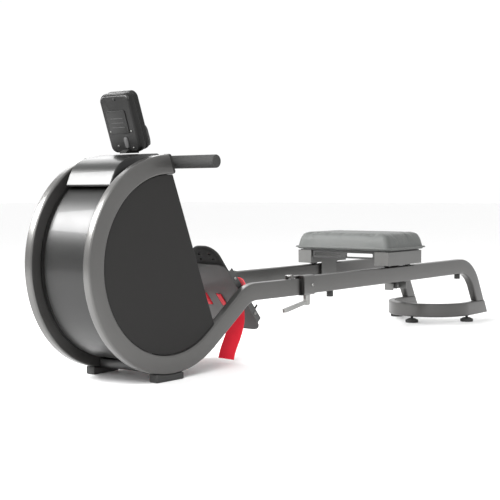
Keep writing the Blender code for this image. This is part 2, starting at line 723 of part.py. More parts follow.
def tangent_loop(first, first_radius, second, second_radius, steps):
    """A closed belt line round two pulleys, seen from the side."""
    between = Vector(second) - Vector(first)
    heading = math.degrees(math.atan2(between.y, between.x))
    swing = math.degrees(math.acos((first_radius - second_radius) / between.length))
    far_arc = arc(second, second_radius / math.cos(math.radians(swing) / steps),
                  heading - swing, heading + swing, steps)
    near_sweep = 360 - 2 * swing
    near_arc = arc(first, first_radius / math.cos(math.radians(near_sweep) / 2 / steps),
                   heading + swing, heading + swing + near_sweep, steps)
    return far_arc + near_arc


def drive_belt():
    """The flat belt between the flywheel's pulley and the drum's."""
    loops = []
    for extra in (BELT_THICKNESS + 2 * GAP, 2 * GAP):
        loops.append(tangent_loop((FLYWHEEL_X, FLYWHEEL_Z), PULLEY_RADIUS + extra,
                                  (DRUM_X, DRUM_Z), DRUM_PULLEY_RADIUS + extra, 16))
    return xz_plate("drive_belt", loops, BELT_Y, BELT_WIDTH, RUBBER)


def magnet_carrier():
    """A channel that straddles the flywheel's rim and swings on a pin."""
    radius = FLYWHEEL_RADIUS
    half = FLYWHEEL_RIM / 2 + 0.0045
    profile = [(radius - 0.018, half), (radius + 0.018, half), (radius + 0.018, -half),
               (radius - 0.018, -half)]
    start = math.degrees(MAGNET_PIVOT_ANGLE) - 5
    carrier = turned("magnet_carrier", profile, BLACK_STEEL,
                     (FLYWHEEL_X - MAGNET_PIVOT_X, FLYWHEEL_Y, FLYWHEEL_Z - MAGNET_PIVOT_Z),
                     (math.pi / 2, -math.radians(start), 0), magnet_pivot, steps=10,
                     angle=math.radians(70))
    wall = carrier.modifiers.new("Wall", 'SOLIDIFY')
    wall.thickness = 0.0025
    wall.offset = -1.0
    inner = FLYWHEEL_Y + half - 0.001
    outer = BRACKET_FAR_Y + BRACKET_PLATE / 2 + 0.002
    pin = rod("magnet_pin", IDLER_PIN, outer - inner, None, (0, (inner + outer) / 2, 0),
              parent=magnet_pivot)
    combine(carrier, pin, 'UNION')
    return carrier


def pull_strap():
    """The webbing from the drum, over the idler and out through the slot to the yoke."""
    over = IDLER_RADIUS + STRAP_THICKNESS / 2 + 2 * GAP
    wound = DRUM_RADIUS + STRAP_THICKNESS / 2 + 3 * GAP
    between = Vector((IDLER_X - DRUM_X, IDLER_Z - DRUM_Z))
    turn = math.asin((wound + over) / between.length)
    leave = math.degrees(math.atan2(between.y, between.x) + turn) - 90
    path = arc((DRUM_X, DRUM_Z), wound, leave - 110, leave, 9)
    path += arc((IDLER_X, IDLER_Z), over, leave + 180, 90, 7)
    path.append((STRAP_END_X, IDLER_Z + over))
    return xz_plate("pull_strap", [band(path, STRAP_THICKNESS)], 0, STRAP_WIDTH, WEBBING)


def build_drive():
    """Everything inside the housing."""
    axle_bracket()
    rod("flywheel_axle", AXLE_RADIUS, 0.150, BARE_STEEL,
        (FLYWHEEL_X, (BRACKET_NEAR_Y + BRACKET_FAR_Y) / 2, FLYWHEEL_Z))
    flywheel()
    strap_drum()
    drive_belt()
    magnet_carrier()
    idler = IDLER_PIN + CLEARANCE
    half = STRAP_WIDTH / 2 + 0.0015
    turned("strap_idler", [(idler, half), (IDLER_RADIUS, half), (IDLER_RADIUS, -half), (idler, -half)],
           NYLON, (IDLER_X, 0, IDLER_Z), steps=20, closed=True)
    bore = AXLE_RADIUS + CLEARANCE
    turned("recoil_spring_case", [(bore, 0.007), (0.038, 0.007), (0.038, -0.007), (bore, -0.007)],
           BLACK_STEEL, (DRUM_X, BRACKET_FAR_Y + BRACKET_PLATE / 2 + GAP + 0.007, DRUM_Z), steps=24,
           closed=True)
    pull_strap()


# ---------------------------------------------------------------- handle

def build_handle():
    """The straight bar, its foam grips, the yoke on the strap and the rest below."""
    inner = BAR_RADIUS - BAR_WALL
    half = HANDLE_HALF_LENGTH - 0.004
    turned("handle_tube", [(BAR_RADIUS, half), (BAR_RADIUS, -half), (inner, -half), (inner, half)],
           BLACK_STEEL, (HANDLE_X, 0, HANDLE_Z), steps=24, closed=True)
    for label, side in SIDES:
        outer = HANDLE_HALF_LENGTH
        start = outer - GRIP_LENGTH
        bore = BAR_RADIUS + GAP
        soft = 0.006
        profile = [(0, outer), (GRIP_RADIUS - soft, outer), (GRIP_RADIUS - soft * 0.3, outer - soft * 0.3),
                   (GRIP_RADIUS, outer - soft), (GRIP_RADIUS, start), (bore, start),
                   (bore, half + GAP), (0, half + GAP)]
        turned(label + "_grip", profile, FOAM, (HANDLE_X, 0, HANDLE_Z),
               (-side * math.pi / 2, 0, 0), steps=24)
    sleeve = BAR_RADIUS + 0.004
    bore = BAR_RADIUS + GAP
    yoke = turned("handle_yoke", [(sleeve, YOKE_HALF), (sleeve, -YOKE_HALF), (bore, -YOKE_HALF),
                                  (bore, YOKE_HALF)],
                  BLACK_STEEL, (HANDLE_X, 0, HANDLE_Z), steps=24, closed=True)
    tongue_end = HANDLE_X - BAR_RADIUS - 0.002
    tongue = box("yoke_tongue", (tongue_end - STRAP_END_X - GAP, 2 * YOKE_HALF, 0.006), (0, 0, 0), None,
                 ((tongue_end + STRAP_END_X + GAP) / 2, 0, HANDLE_Z))
    combine(yoke, tongue, 'UNION')
    top = HANDLE_Z - BAR_RADIUS - CLEARANCE
    wall = rear_wall_x(top)
    foot = rear_wall_x(top - CRADLE_DEPTH)
    points = [(foot, top - CRADLE_DEPTH), (foot + 0.006, top - CRADLE_DEPTH),
              (HANDLE_X + 0.004, top - 0.005), (HANDLE_X + 0.010, top), (wall, top)]
    cradle = xz_plate("handle_cradle", [points], 0, 2 * CRADLE_HALF, BLACK_MATT)
    gap = box("cradle_gap", (0.1, 2 * CRADLE_GAP_HALF, 0.1), (0.05, 0, 0), None,
              (wall + 0.012, 0, top - 0.01))
    combine(cradle, gap)


def rear_wall_x(z):
    """Outer face of the slanted rear wall at a height."""
    face = (COVER_WALL / 2 + 2 * GAP) / math.cos(REAR_EDGE_ANGLE)
    return REAR_WALL_TOP[0] + (REAR_WALL_TOP[1] - z) * math.tan(REAR_EDGE_ANGLE) + face


# ---------------------------------------------------------------- console

def build_console():
    """The bracket on the hood and the case that tilts on it."""
    x = CONSOLE_PIVOT_X
    z = CONSOLE_PIVOT_Z
    points = [(-0.045, 0.5905), (0.003, 0.5930), (0.003, 0.5960), (x + LUG_RADIUS, z), (x, z + LUG_RADIUS),
              (x - LUG_RADIUS, z), (-0.045, 0.5955)]
    bracket = xz_plate("console_bracket", [points], 0, 2 * LUG_HALF, BLACK_MATT)
    pin = rod("console_pin", CONSOLE_PIN, 2 * (LUG_HALF + 0.008), None, (x, 0, z))
    combine(bracket, pin, 'UNION')
    height = CONSOLE_HEIGHT + CONSOLE_DROP
    face = rounded_rectangle(CONSOLE_WIDTH, height, 0.016, 4, (0, height / 2 - CONSOLE_DROP))
    case = outline("console_case", [face], CONSOLE_THICKNESS, BLACK_MATT, (CONSOLE_SHIFT, 0, 0),
                   (math.pi / 2, 0, math.pi / 2), console_pivot)
    front = CONSOLE_SHIFT + CONSOLE_THICKNESS / 2
    ledge = [(front - 0.003, -CONSOLE_DROP + 0.004), (front + LEDGE_DEPTH * 0.6, -CONSOLE_DROP + 0.004),
             (front + LEDGE_DEPTH * 0.75, 0.010), (front + LEDGE_DEPTH * 0.7, LEDGE_HEIGHT - 0.016),
             (front + 0.006, LEDGE_HEIGHT - 0.006), (front - 0.003, LEDGE_HEIGHT - 0.004)]
    combine(case, xz_plate("console_ledge", [ledge], 0, CONSOLE_WIDTH - 0.012, None, console_pivot),
            'UNION')
    notch = box("console_notch", (0.1, 2 * LUG_HALF + 0.0012, 0.024), (0, 0, 0), None, (0, 0, -0.0005),
                parent=console_pivot)
    combine(case, notch)
    combine(case, rod("console_bore", CONSOLE_PIN + CLEARANCE, 2 * (LUG_HALF + 0.0085), None, (0, 0, 0),
                      parent=console_pivot))
    return case


# ---------------------------------------------------------------- footrest

def build_footrest():
    """The tilted tray with its two foot plates, heel cups and straps."""
    width = 2 * FOOTREST_HALF_WIDTH
    tray = rounded_rectangle(FOOTREST_LENGTH, width, 0.030, 4)
    plate = outline("footrest_platform", [tray], PLATE, BLACK_STEEL, (0, 0, PLATE / 2), (0, 0, 0), slope)
    for label, side in SIDES:
        flange = box(label + "_flange", (FOOTREST_LENGTH - 0.060, PLATE, FOOTREST_FLANGE), (0, 0, 0), None,
                     (0, side * (FOOTREST_HALF_WIDTH - PLATE / 2), FOOTREST_FLANGE / 2), parent=slope)
        combine(plate, flange, 'UNION')
    lip = box("bottom_lip", (PLATE, width - 0.060, FOOTREST_FLANGE), (0, 0, 0), None,
              (FOOTREST_LENGTH / 2 - PLATE / 2, 0, FOOTREST_FLANGE / 2), parent=slope)
    combine(plate, lip, 'UNION')
    slot_length = FOOT_STRAP_WIDTH + 0.004
    slot_width = FOOT_STRAP_THICKNESS + 0.006
    slot_places = (STRAP_SLOT_INNER + 0.002, STRAP_SLOT_OUTER - 0.002)
    slots = [box("%s_slot%d" % (label, number), (slot_length, slot_width, 0.06), (0, 0, 0), None,
                 (STRAP_SLOT_X, side * y, 0), parent=slope)
             for label, side in SIDES for number, y in enumerate(slot_places)]
    for slot in slots:
        combine(plate, slot)
    for label, side in SIDES:
        sole = rounded_rectangle(FOOT_PLATE_LENGTH, FOOT_PLATE_WIDTH, 0.040, 5)
        sole_plate = outline(label + "_foot_plate", [sole], FOOT_PLATE_THICKNESS, BLACK_MATT,
                             (FOOT_PLATE_X, side * FOOT_PLATE_Y, TOP_FACE + FOOT_PLATE_THICKNESS / 2),
                             (0, 0, 0), slope)
        for slot in slots:
            if slot.name.startswith(label):
                combine(sole_plate, slot)
        heel_cup(label, side)
        foot_strap(label, side)


def heel_cup(label, side):
    """A shallow cup for the heel: a base and a wall round its lower half."""
    base_height = TOP_FACE + FOOT_PLATE_THICKNESS + GAP
    base = arc((0, 0), HEEL_RADIUS, -90, 90, 14) + [(-HEEL_TOE, HEEL_RADIUS), (-HEEL_TOE, -HEEL_RADIUS)]
    cup = outline(label + "_heel_cup", [base], HEEL_BASE, BLACK_MATT,
                  (HEEL_X, side * FOOT_PLATE_Y, base_height + HEEL_BASE / 2), (0, 0, 0), slope)
    inner = HEEL_RADIUS - 0.005
    wall = arc((0, 0), HEEL_RADIUS, -HEEL_REACH, HEEL_REACH, 14)
    wall += arc((0, 0), inner, HEEL_REACH, -HEEL_REACH, 14)
    rim = outline(label + "_heel_wall", [wall], HEEL_HEIGHT, None,
                  (HEEL_X, side * FOOT_PLATE_Y, base_height + HEEL_HEIGHT / 2), (0, 0, 0), slope)
    combine(cup, rim, 'UNION')
    knob = rod(label + "_heel_knob", 0.011, 0.020, None,
               (HEEL_X + HEEL_RADIUS + 0.005, side * FOOT_PLATE_Y, base_height + HEEL_HEIGHT * 0.6),
               "X", slope, 16)
    combine(cup, knob, 'UNION')
    return cup


def foot_strap(label, side):
    """Webbing that runs under the platform, up, over the foot, down and out to a hanging end."""
    inner = STRAP_SLOT_INNER + FOOT_STRAP_THICKNESS / 2
    outer = STRAP_SLOT_OUTER - FOOT_STRAP_THICKNESS / 2
    middle = (inner + outer) / 2
    half = (outer - inner) / 2
    below = -2 * GAP - FOOT_STRAP_THICKNESS / 2
    over = [(middle - half * math.cos(math.radians(a)),
             STRAP_SHOULDER + (STRAP_ARCH - STRAP_SHOULDER) * math.sin(math.radians(a)))
            for a in range(0, 181, 20)]
    shear = (math.tan(FOOTREST_TILT) - STRAP_LEAN) / (1 + STRAP_LEAN * math.tan(FOOTREST_TILT))
    fall = STRAP_HANG / (math.cos(FOOTREST_TILT) + shear * math.sin(FOOTREST_TILT))
    path = [(outer - STRAP_TURN, below), (inner, below)] + over
    path += [(outer, below), (outer - STRAP_DRIFT, below - fall)]
    mesh = outline_mesh(label + "_foot_strap", [band(path, FOOT_STRAP_THICKNESS)], FOOT_STRAP_WIDTH)
    for vert in mesh.vertices:
        y, z, x = vert.co
        vert.co = (x + max(0.0, below - z) * shear, side * y, z)
    if side < 0:
        mesh.flip_normals()
    return place(label + "_foot_strap", mesh, RED_WEBBING, (STRAP_SLOT_X, 0, 0), (0, 0, 0), slope)


# ---------------------------------------------------------------- rails and tail

def rail(name, side):
    """Rail and rear leg bent from one tube, cut level where it stands on the floor loop."""
    leg = (math.cos(LEG_ANGLE), -math.sin(LEG_ANGLE))
    slant = RAIL_WIDTH / 2
    corner = (RAIL_CORNER_X - slant * math.tan(LEG_ANGLE / 2), RAIL_CENTRE_Z)
    reach = RAIL_BEND * math.tan(LEG_ANGLE / 2)
    centre = (corner[0] - reach, RAIL_CENTRE_Z - RAIL_BEND)
    path = [(RAIL_START, RAIL_CENTRE_Z)]
    path += arc(centre, RAIL_BEND, 90, 90 - math.degrees(LEG_ANGLE), 7)
    run = (path[-1][1] - LOOP_BOTTOM + 0.02) / -leg[1]
    path.append((path[-1][0] + leg[0] * run, path[-1][1] + leg[1] * run))
    tube = square_tube(name, path, RAIL_WIDTH, RAIL_DEPTH, FRAME_PAINT,
                       location=(0, side * RAIL_Y, 0), rotation=(math.pi / 2, 0, 0))
    floor = box(name + "_foot_cut", (0.4, 0.1, 0.2), (0, 0, 0), None,
                (RAIL_CORNER_X, side * RAIL_Y, LOOP_TOP + GAP - 0.1))
    return combine(tube, floor)


def floor_loop():
    """The bar on the floor, bent to a half circle, with its ends cut in line with the legs."""
    centre = (LOOP_CENTRE_X, 0)
    end = RAIL_CORNER_X + (RAIL_TOP - LOOP_BOTTOM) / math.tan(LEG_ANGLE) + 0.02
    path = [(end, LOOP_Y)] + arc(centre, LOOP_Y, 90, 270, 22) + [(end, -LOOP_Y)]
    middle = (LOOP_BOTTOM + LOOP_TOP) / 2
    loop = square_tube("floor_loop", path, LOOP_DEPTH, LOOP_WIDTH, FRAME_PAINT,
                       location=(0, 0, middle))
    cut = 0.2
    away = (math.sin(LEG_ANGLE), math.cos(LEG_ANGLE))
    face = (RAIL_CORNER_X + (RAIL_TOP - middle) / math.tan(LEG_ANGLE), middle)
    combine(loop, box("loop_end_cut", (cut, 1.0, 1.5 * cut), (0, 0, 0), None,
                      (face[0] + away[0] * cut / 2, 0, face[1] + away[1] * cut / 2),
                      (0, -(math.pi / 2 - LEG_ANGLE), 0)))
    for label, x, y in loop_feet():
        combine(loop, rod(label + "_foot_bore", FOOT_STEM + CLEARANCE, 0.020, None,
                          (x, y, LOOP_BOTTOM), "Z"))
    return loop


def loop_feet():
    """Names and places of the three levelling feet."""
    return (("centre", LOOP_CENTRE_X - LOOP_Y, 0), ("near", LOOP_CENTRE_X, -LOOP_Y),
            ("far", LOOP_CENTRE_X, LOOP_Y))


def levelling_feet():
    """Three screw feet under the loop."""
    for label, x, y in loop_feet():
        top = LOOP_BOTTOM + 0.008
        profile = [(0, top), (FOOT_STEM, top), (FOOT_STEM, 0.016), (FOOT_DISC_RADIUS * 0.5, 0.015),
                   (FOOT_DISC_RADIUS, 0.009), (FOOT_DISC_RADIUS, 0), (0, 0)]
        turned(label + "_levelling_foot", profile, RUBBER, (x, y, 0), (0, 0, 0), steps=24)


def hinge_bracket(name, side):
    """The sleeve round a rail's front end, with its hinge leaf and barrel."""
    high = RAIL_WIDTH + 2 * (SLEEVE_WALL + GAP)
    wide = RAIL_DEPTH + 2 * (SLEEVE_WALL + GAP)
    loops = [rounded_rectangle(wide, high, TUBE_CORNER + SLEEVE_WALL, 3),
             rounded_rectangle(RAIL_DEPTH + 2 * GAP, RAIL_WIDTH + 2 * GAP, TUBE_CORNER, 3)]
    sleeve = outline(name, loops, SLEEVE_LENGTH, FRAME_PAINT,
                     (SLEEVE_START + SLEEVE_LENGTH / 2, side * RAIL_Y, RAIL_CENTRE_Z),
                     (math.pi / 2, 0, math.pi / 2))
    inner, outer = hinge_ears()
    low = inner + PLATE / 2 + CLEARANCE
    high_y = outer - PLATE / 2 - CLEARANCE
    thick = 0.0028
    leaf_z = RAIL_TOP + GAP + SLEEVE_WALL - thick / 2
    leaf_end = SLEEVE_START + 0.015
    leaf = box(name + "_leaf", (leaf_end - HINGE_X, high_y - low, thick), (0, 0, 0), None,
               ((leaf_end + HINGE_X) / 2, side * (low + high_y) / 2, leaf_z))
    combine(sleeve, leaf, 'UNION')
    barrel = rod(name + "_barrel", 0.0058, high_y - low - GAP, None,
                 (HINGE_X, side * (low + high_y) / 2, HINGE_Z))
    combine(sleeve, barrel, 'UNION')
    combine(sleeve, rod(name + "_bore", HINGE_PIN_RADIUS + CLEARANCE, 0.1, None,
                        (HINGE_X, side * hinge_middle(), HINGE_Z)))
    combine(sleeve, rod(name + "_lever_bore", LEVER_STEM + CLEARANCE, 0.012, None,
                        (LEVER_X, side * RAIL_Y, RAIL_BOTTOM - SLEEVE_WALL), "Z"))
    return sleeve


def lock_lever(name, side):
    """The screw under a sleeve with its long arm."""
    top = RAIL_BOTTOM - SLEEVE_WALL - 2 * GAP
    bottom = LEVER_BOTTOM
    profile = [(0, RAIL_BOTTOM - 2 * GAP), (LEVER_STEM, RAIL_BOTTOM - 2 * GAP), (LEVER_STEM, top),
               (0.0105, top), (0.0105, bottom + 0.002), (0.0085, bottom), (0, bottom)]
    lever = turned(name, profile, BARE_STEEL, (LEVER_X, side * RAIL_Y, 0), (0, 0, 0), steps=20)
    arm = [(0, 0.006)] + arc((-LEVER_ARM, 0), 0.008, 90, 270, 6) + [(0, -0.006)]
    handle = outline(name + "_arm", [arm], LEVER_THICKNESS, None,
                     (LEVER_X, side * RAIL_Y, bottom + LEVER_THICKNESS), (0, -LEVER_DROOP, 0))
    return combine(lever, handle, 'UNION')


# ---------------------------------------------------------------- seat

def carriage_bracket(name, side):
    """Pressed channel over a rail, with roller axles and a hanging tab for the lower roller."""
    middle = side * (CARRIAGE_OUTER + CARRIAGE_INNER) / 2
    wide = CARRIAGE_OUTER - CARRIAGE_INNER
    bracket = box(name, (CARRIAGE_LENGTH, wide, PLATE), (0, 0, 0), CARRIAGE_PAINT,
                  (CARRIAGE_X, middle, CARRIAGE_TOP - PLATE / 2))
    deep = CARRIAGE_TOP - CARRIAGE_SKIRT
    walls = [("outer_wall", (CARRIAGE_LENGTH, PLATE, deep),
              (CARRIAGE_X, CARRIAGE_OUTER - PLATE / 2, CARRIAGE_TOP - deep / 2)),
             ("inner_wall", (CARRIAGE_LENGTH, PLATE, deep),
              (CARRIAGE_X, CARRIAGE_INNER + PLATE / 2, CARRIAGE_TOP - deep / 2))]
    for label, end in (("front", -1), ("rear", 1)):
        end_x = CARRIAGE_X + end * (CARRIAGE_HALF - PLATE / 2)
        walls.append((label + "_wall", (PLATE, wide, deep),
                      (end_x, abs(middle), CARRIAGE_TOP - deep / 2)))
    tab_length = TAB_REAR - TAB_FRONT
    tab_deep = CARRIAGE_TOP - TAB_BOTTOM
    tab_x = CARRIAGE_X + (TAB_FRONT + TAB_REAR) / 2
    walls.append(("tab", (tab_length, PLATE, tab_deep),
                  (tab_x, CARRIAGE_INNER + PLATE / 2, CARRIAGE_TOP - tab_deep / 2)))
    lug_deep = RAIL_BOTTOM - KEEPER_DROP - TAB_BOTTOM
    for label, x in (("front", TAB_FRONT + PLATE / 2), ("rear", TAB_REAR - PLATE / 2)):
        walls.append((label + "_lug", (PLATE, RAIL_HALF_WIDTH - CARRIAGE_INNER - 0.004, lug_deep),
                      (CARRIAGE_X + x, (RAIL_HALF_WIDTH - 0.004 + CARRIAGE_INNER) / 2,
                       TAB_BOTTOM + lug_deep / 2)))
    for label, size, (x, y, z) in walls:
        combine(bracket, box("%s_%s" % (name, label), size, (0, 0, 0), None, (x, side * y, z)), 'UNION')
    for label, x in roller_places():
        axle = rod("%s_%s_axle" % (name, label), ROLLER_AXLE, wide - PLATE, None,
                   (x, middle, ROLLER_Z), segments=16)
        combine(bracket, axle, 'UNION')
    reach = RAIL_Y + ROLLER_WIDTH / 2 + 0.003 - CARRIAGE_INNER - PLATE / 2
    keeper = rod(name + "_keeper_axle", ROLLER_AXLE - 0.0005, reach, None,
                 (CARRIAGE_X + KEEPER_X, side * (CARRIAGE_INNER + PLATE / 2 + reach / 2), KEEPER_Z),
                 segments=16)
    combine(bracket, keeper, 'UNION')
    return bracket


def roller_places():
    """Names and places along the machine of the upper rollers."""
    return (("front", CARRIAGE_X - ROLLER_SPREAD / 2), ("rear", CARRIAGE_X + ROLLER_SPREAD / 2))


def roller(name, radius, axle, place_at):
    """A plain nylon roller."""
    half = ROLLER_WIDTH / 2
    bore = axle + CLEARANCE
    profile = [(bore, half), (radius - 0.0015, half), (radius, half - 0.0015), (radius, 0.0015 - half),
               (radius - 0.0015, -half), (bore, -half)]
    return turned(name, profile, NYLON, place_at, steps=24, closed=True)


def build_seat():
    """Pad, its base plate with two windowed cross ribs, brackets and rollers."""
    pad = box("seat_pad", (SEAT_LENGTH, SEAT_WIDTH, SEAT_THICKNESS), (0, 0, SEAT_THICKNESS / 2), VINYL,
              (SEAT_X, 0, SEAT_BOTTOM))
    round_edges(pad, 0.016, 3)
    base_bottom = CARRIAGE_TOP + GAP
    base_top = SEAT_BOTTOM - GAP
    base = box("seat_base", (CARRIAGE_LENGTH, 2 * CARRIAGE_OUTER - 0.02, base_top - base_bottom), (0, 0, 0),
               BLACK_STEEL, (CARRIAGE_X, 0, (base_bottom + base_top) / 2))
    half = CARRIAGE_INNER - GAP
    high = base_top - 0.0005
    windows = [rounded_rectangle(half - 0.024, 0.012, 0.003, 2, (side * (half / 2 + 0.002), 0.276))
               for side in (-1, 1)]
    for label, end, low, holes in (("front", -1, FRONT_RIB_BOTTOM, windows),
                                   ("rear", 1, REAR_RIB_BOTTOM, [])):
        rib = rounded_rectangle(2 * half, high - low, 0.002, 1, (0, (high + low) / 2))
        x = CARRIAGE_X + end * (CARRIAGE_HALF - 0.008)
        combine(base, outline(label + "_rib", [rib] + holes, PLATE, None, (x, 0, 0),
                              (math.pi / 2, 0, math.pi / 2)), 'UNION')
    for label, side in SIDES:
        carriage_bracket(label + "_carriage_bracket", side)
        for end, x in roller_places():
            roller("%s_%s_roller" % (label, end), ROLLER_RADIUS, ROLLER_AXLE, (x, side * RAIL_Y, ROLLER_Z))
        roller(label + "_keeper_roller", KEEPER_RADIUS, ROLLER_AXLE - 0.0005,
               (CARRIAGE_X + KEEPER_X, side * RAIL_Y, KEEPER_Z))


# ---------------------------------------------------------------- assembly

magnet_pivot = empty("magnet_pivot", (MAGNET_PIVOT_X, 0, MAGNET_PIVOT_Z), parent=root)
console_pivot = empty("console_pivot", (CONSOLE_PIVOT_X, 0, CONSOLE_PIVOT_Z), (0, -CONSOLE_LEAN, 0), root)
slope = empty("footrest_slope", (FOOTREST_X, 0, FOOTREST_Z), (0, FOOTREST_TILT, 0), root)

for label, side in SIDES:
    front_frame(label + "_front_frame", side)
    side_panel(label + "_side_panel", side)
    front_foot(label + "_front_foot", side)
    rail(label + "_rail", side)
    hinge_bracket(label + "_hinge_bracket", side)
    ears = hinge_ears()
    rod(label + "_hinge_pin", HINGE_PIN_RADIUS, ears[1] - ears[0] + PLATE - GAP, BARE_STEEL,
        (HINGE_X, side * hinge_middle(), HINGE_Z))
    lock_lever(label + "_lock_lever", side)
    for end, x in (("front", FRONT_STOP_X), ("rear", REAR_STOP_X)):
        rod("%s_%s_stop" % (label, end), STOP_RADIUS, STOP_LENGTH, RUBBER,
            (x, side * RAIL_Y, RAIL_BOTTOM - GAP - STOP_LENGTH / 2), "Z")
cross_tubes()
front_cover()
top_cover()
rear_cover()
build_drive()
build_handle()
build_console()
build_footrest()
floor_loop()
levelling_feet()
build_seat()

for obj in list(parts.objects) + list(guides.objects):
    if obj.parent is None and obj is not root:
        obj.parent = root

bpy.context.view_layer.update()
graph = bpy.context.evaluated_depsgraph_get()
ends = [(obj.matrix_world @ vert.co).x
        for obj in parts.objects for vert in obj.evaluated_get(graph).data.vertices]
root.location.x = -(min(ends) + max(ends)) / 2
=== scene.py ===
"""Looks of a folding rowing machine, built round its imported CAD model.

Metres, +Z up. Places are given as in the CAD part, with X counted from above the ring's
centre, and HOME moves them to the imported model's origin.
"""

import math

import bmesh
import bpy
import numpy as np
from mathutils import Matrix, Vector


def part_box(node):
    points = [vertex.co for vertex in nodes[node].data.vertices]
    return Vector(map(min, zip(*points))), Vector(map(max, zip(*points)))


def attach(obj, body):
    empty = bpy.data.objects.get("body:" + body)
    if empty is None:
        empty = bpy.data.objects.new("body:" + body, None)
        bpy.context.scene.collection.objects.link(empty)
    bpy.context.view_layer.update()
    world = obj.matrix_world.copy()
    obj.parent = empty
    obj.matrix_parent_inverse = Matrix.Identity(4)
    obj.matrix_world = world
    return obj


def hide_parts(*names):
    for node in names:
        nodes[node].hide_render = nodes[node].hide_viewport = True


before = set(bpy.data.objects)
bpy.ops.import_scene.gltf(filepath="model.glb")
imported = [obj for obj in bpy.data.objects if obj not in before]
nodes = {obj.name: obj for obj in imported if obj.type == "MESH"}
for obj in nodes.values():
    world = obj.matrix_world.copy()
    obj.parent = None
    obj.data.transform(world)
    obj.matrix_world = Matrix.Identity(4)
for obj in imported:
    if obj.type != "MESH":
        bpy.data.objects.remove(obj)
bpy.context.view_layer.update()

# ---------------------------------------------------------------- sizes

RING_RADIUS = 0.285
RING_HEIGHT = 0.301
TUBE_WIDTH = 0.050
TUBE_DEPTH = 0.026
TUBE_CORNER = 0.0055
FRAME_HALF_WIDTH = 0.130
SPLAY_ANGLE = math.atan(0.045)
RISER_ANGLE = math.radians(36)
RISER_BEND = 0.105
STUB_HEIGHT = 0.207
STUB_END = 0.540
TOP_CUT_ANGLE = math.radians(20)
RAIL_TOP = 0.2375
RAIL_WIDTH = 0.0535
RAIL_DEPTH = 0.028
RAIL_Y = 0.1495
RAIL_START = 0.556
RAIL_CORNER_X = 1.6756
LEG_ANGLE = math.radians(60)
RAIL_BEND = 0.147
LOOP_BOTTOM = 0.022
LOOP_TOP = 0.072
LOOP_DEPTH = 0.026
LOOP_Y = 0.1505
LOOP_CENTRE_X = 1.648
GAP = 0.0003
SIDES = (("near", -1), ("far", 1))

REAR_STOP_X = 1.5685

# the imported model's origin is at the middle of its length
stop_low, stop_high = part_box("near_rear_stop")
HOME = np.array([(stop_low.x + stop_high.x) / 2 - REAR_STOP_X, 0, 0])


# ---------------------------------------------------------------- shapes

def surface(name, points, across=False, along=False, caps=False, uv=False):
    """A mesh over a grid of points: each row joins the next, and each point its neighbour.

    across closes every row into a ring, along joins the last row to the first, and caps
    fills the first and last ring.
    """
    rows, cols = points.shape[:2]
    first = np.arange(rows if along else rows - 1)
    second = np.arange(cols if across else cols - 1)
    r, c = np.meshgrid(first, second, indexing="ij")
    r2 = (r + 1) % rows
    c2 = (c + 1) % cols
    quads = np.stack([r * cols + c, r * cols + c2, r2 * cols + c2, r2 * cols + c], -1)
    faces = quads.reshape(-1, 4).tolist()
    if caps:
        faces.append(list(range(cols))[::-1])
        faces.append(list(range((rows - 1) * cols, rows * cols)))
    mesh = bpy.data.meshes.new(name)
    mesh.from_pydata((points.reshape(-1, 3) + HOME).tolist(), [], faces)
    if uv:
        layer = mesh.uv_layers.new(name="weave")
        index = np.empty(len(mesh.loops), dtype=np.int32)
        mesh.loops.foreach_get("vertex_index", index)
        run = np.concatenate([[0], np.linalg.norm(np.diff(points[:, 0], axis=0), axis=1)]).cumsum()
        wide = np.concatenate([[0], np.linalg.norm(np.diff(points[0], axis=0), axis=1)]).cumsum()
        flat = np.stack([run[index // cols], wide[index % cols]], -1)
        layer.data.foreach_set("uv", flat.astype(np.float32).ravel())
    return dress(name, mesh)


def dress(name, mesh, angle=35, flip_check=True):
    """Make an object of a mesh, with outward normals and smooth shading between sharp edges."""
    bm = bmesh.new()
    bm.from_mesh(mesh)
    bmesh.ops.remove_doubles(bm, verts=bm.verts, dist=0.000005)
    if flip_check:
        bmesh.ops.recalc_face_normals(bm, faces=bm.faces)
    bm.to_mesh(mesh)
    bm.free()
    mesh.shade_smooth()
    mesh.set_sharp_from_angle(angle=math.radians(angle))
    obj = bpy.data.objects.new(name, mesh)
    bpy.context.scene.collection.objects.link(obj)
    return obj


def join(name, pieces):
    """One object from several pieces that belong to one moulding."""
    bm = bmesh.new()
    for piece in pieces:
        bm.from_mesh(piece.data)
        bpy.data.objects.remove(piece, do_unlink=True)
    mesh = bpy.data.meshes.new(name)
    bm.to_mesh(mesh)
    bm.free()
    return dress(name, mesh, flip_check=False)


def arc(centre, radius, start, end, count):
    """Points at even angles, in degrees, on a circle: centre plus radius times cosine and sine."""
    angle = np.radians(np.linspace(start, end, count))
    return np.stack([centre[0] + radius * np.cos(angle), centre[1] + radius * np.sin(angle)], -1)


def rounded(width, height, radius, count=6):
    """A rectangle with round corners: four quarter arcs in turn."""
    corners = [((1, 1), 0), ((-1, 1), 90), ((-1, -1), 180), ((1, -1), 270)]
    parts = [arc((sx * (width / 2 - radius), sy * (height / 2 - radius)), radius, a, a + 90, count)
             for (sx, sy), a in corners]
    return np.concatenate(parts)


def tangents(path):
    """Unit directions along a path: the difference of its neighbours."""
    way = np.gradient(path, axis=0)
    return way / np.linalg.norm(way, axis=1, keepdims=True)


def sweep_flat(path, section):
    """A section carried along a flat path: (along, up, across) = path + a * normal, then b across."""
    way = tangents(path)
    normal = np.stack([-way[:, 1], way[:, 0]], -1)
    flat = path[:, None] + normal[:, None] * section[None, :, :1]
    across = np.broadcast_to(section[None, :, 1:], flat.shape[:2] + (1,))
    return np.concatenate([flat, across], -1)


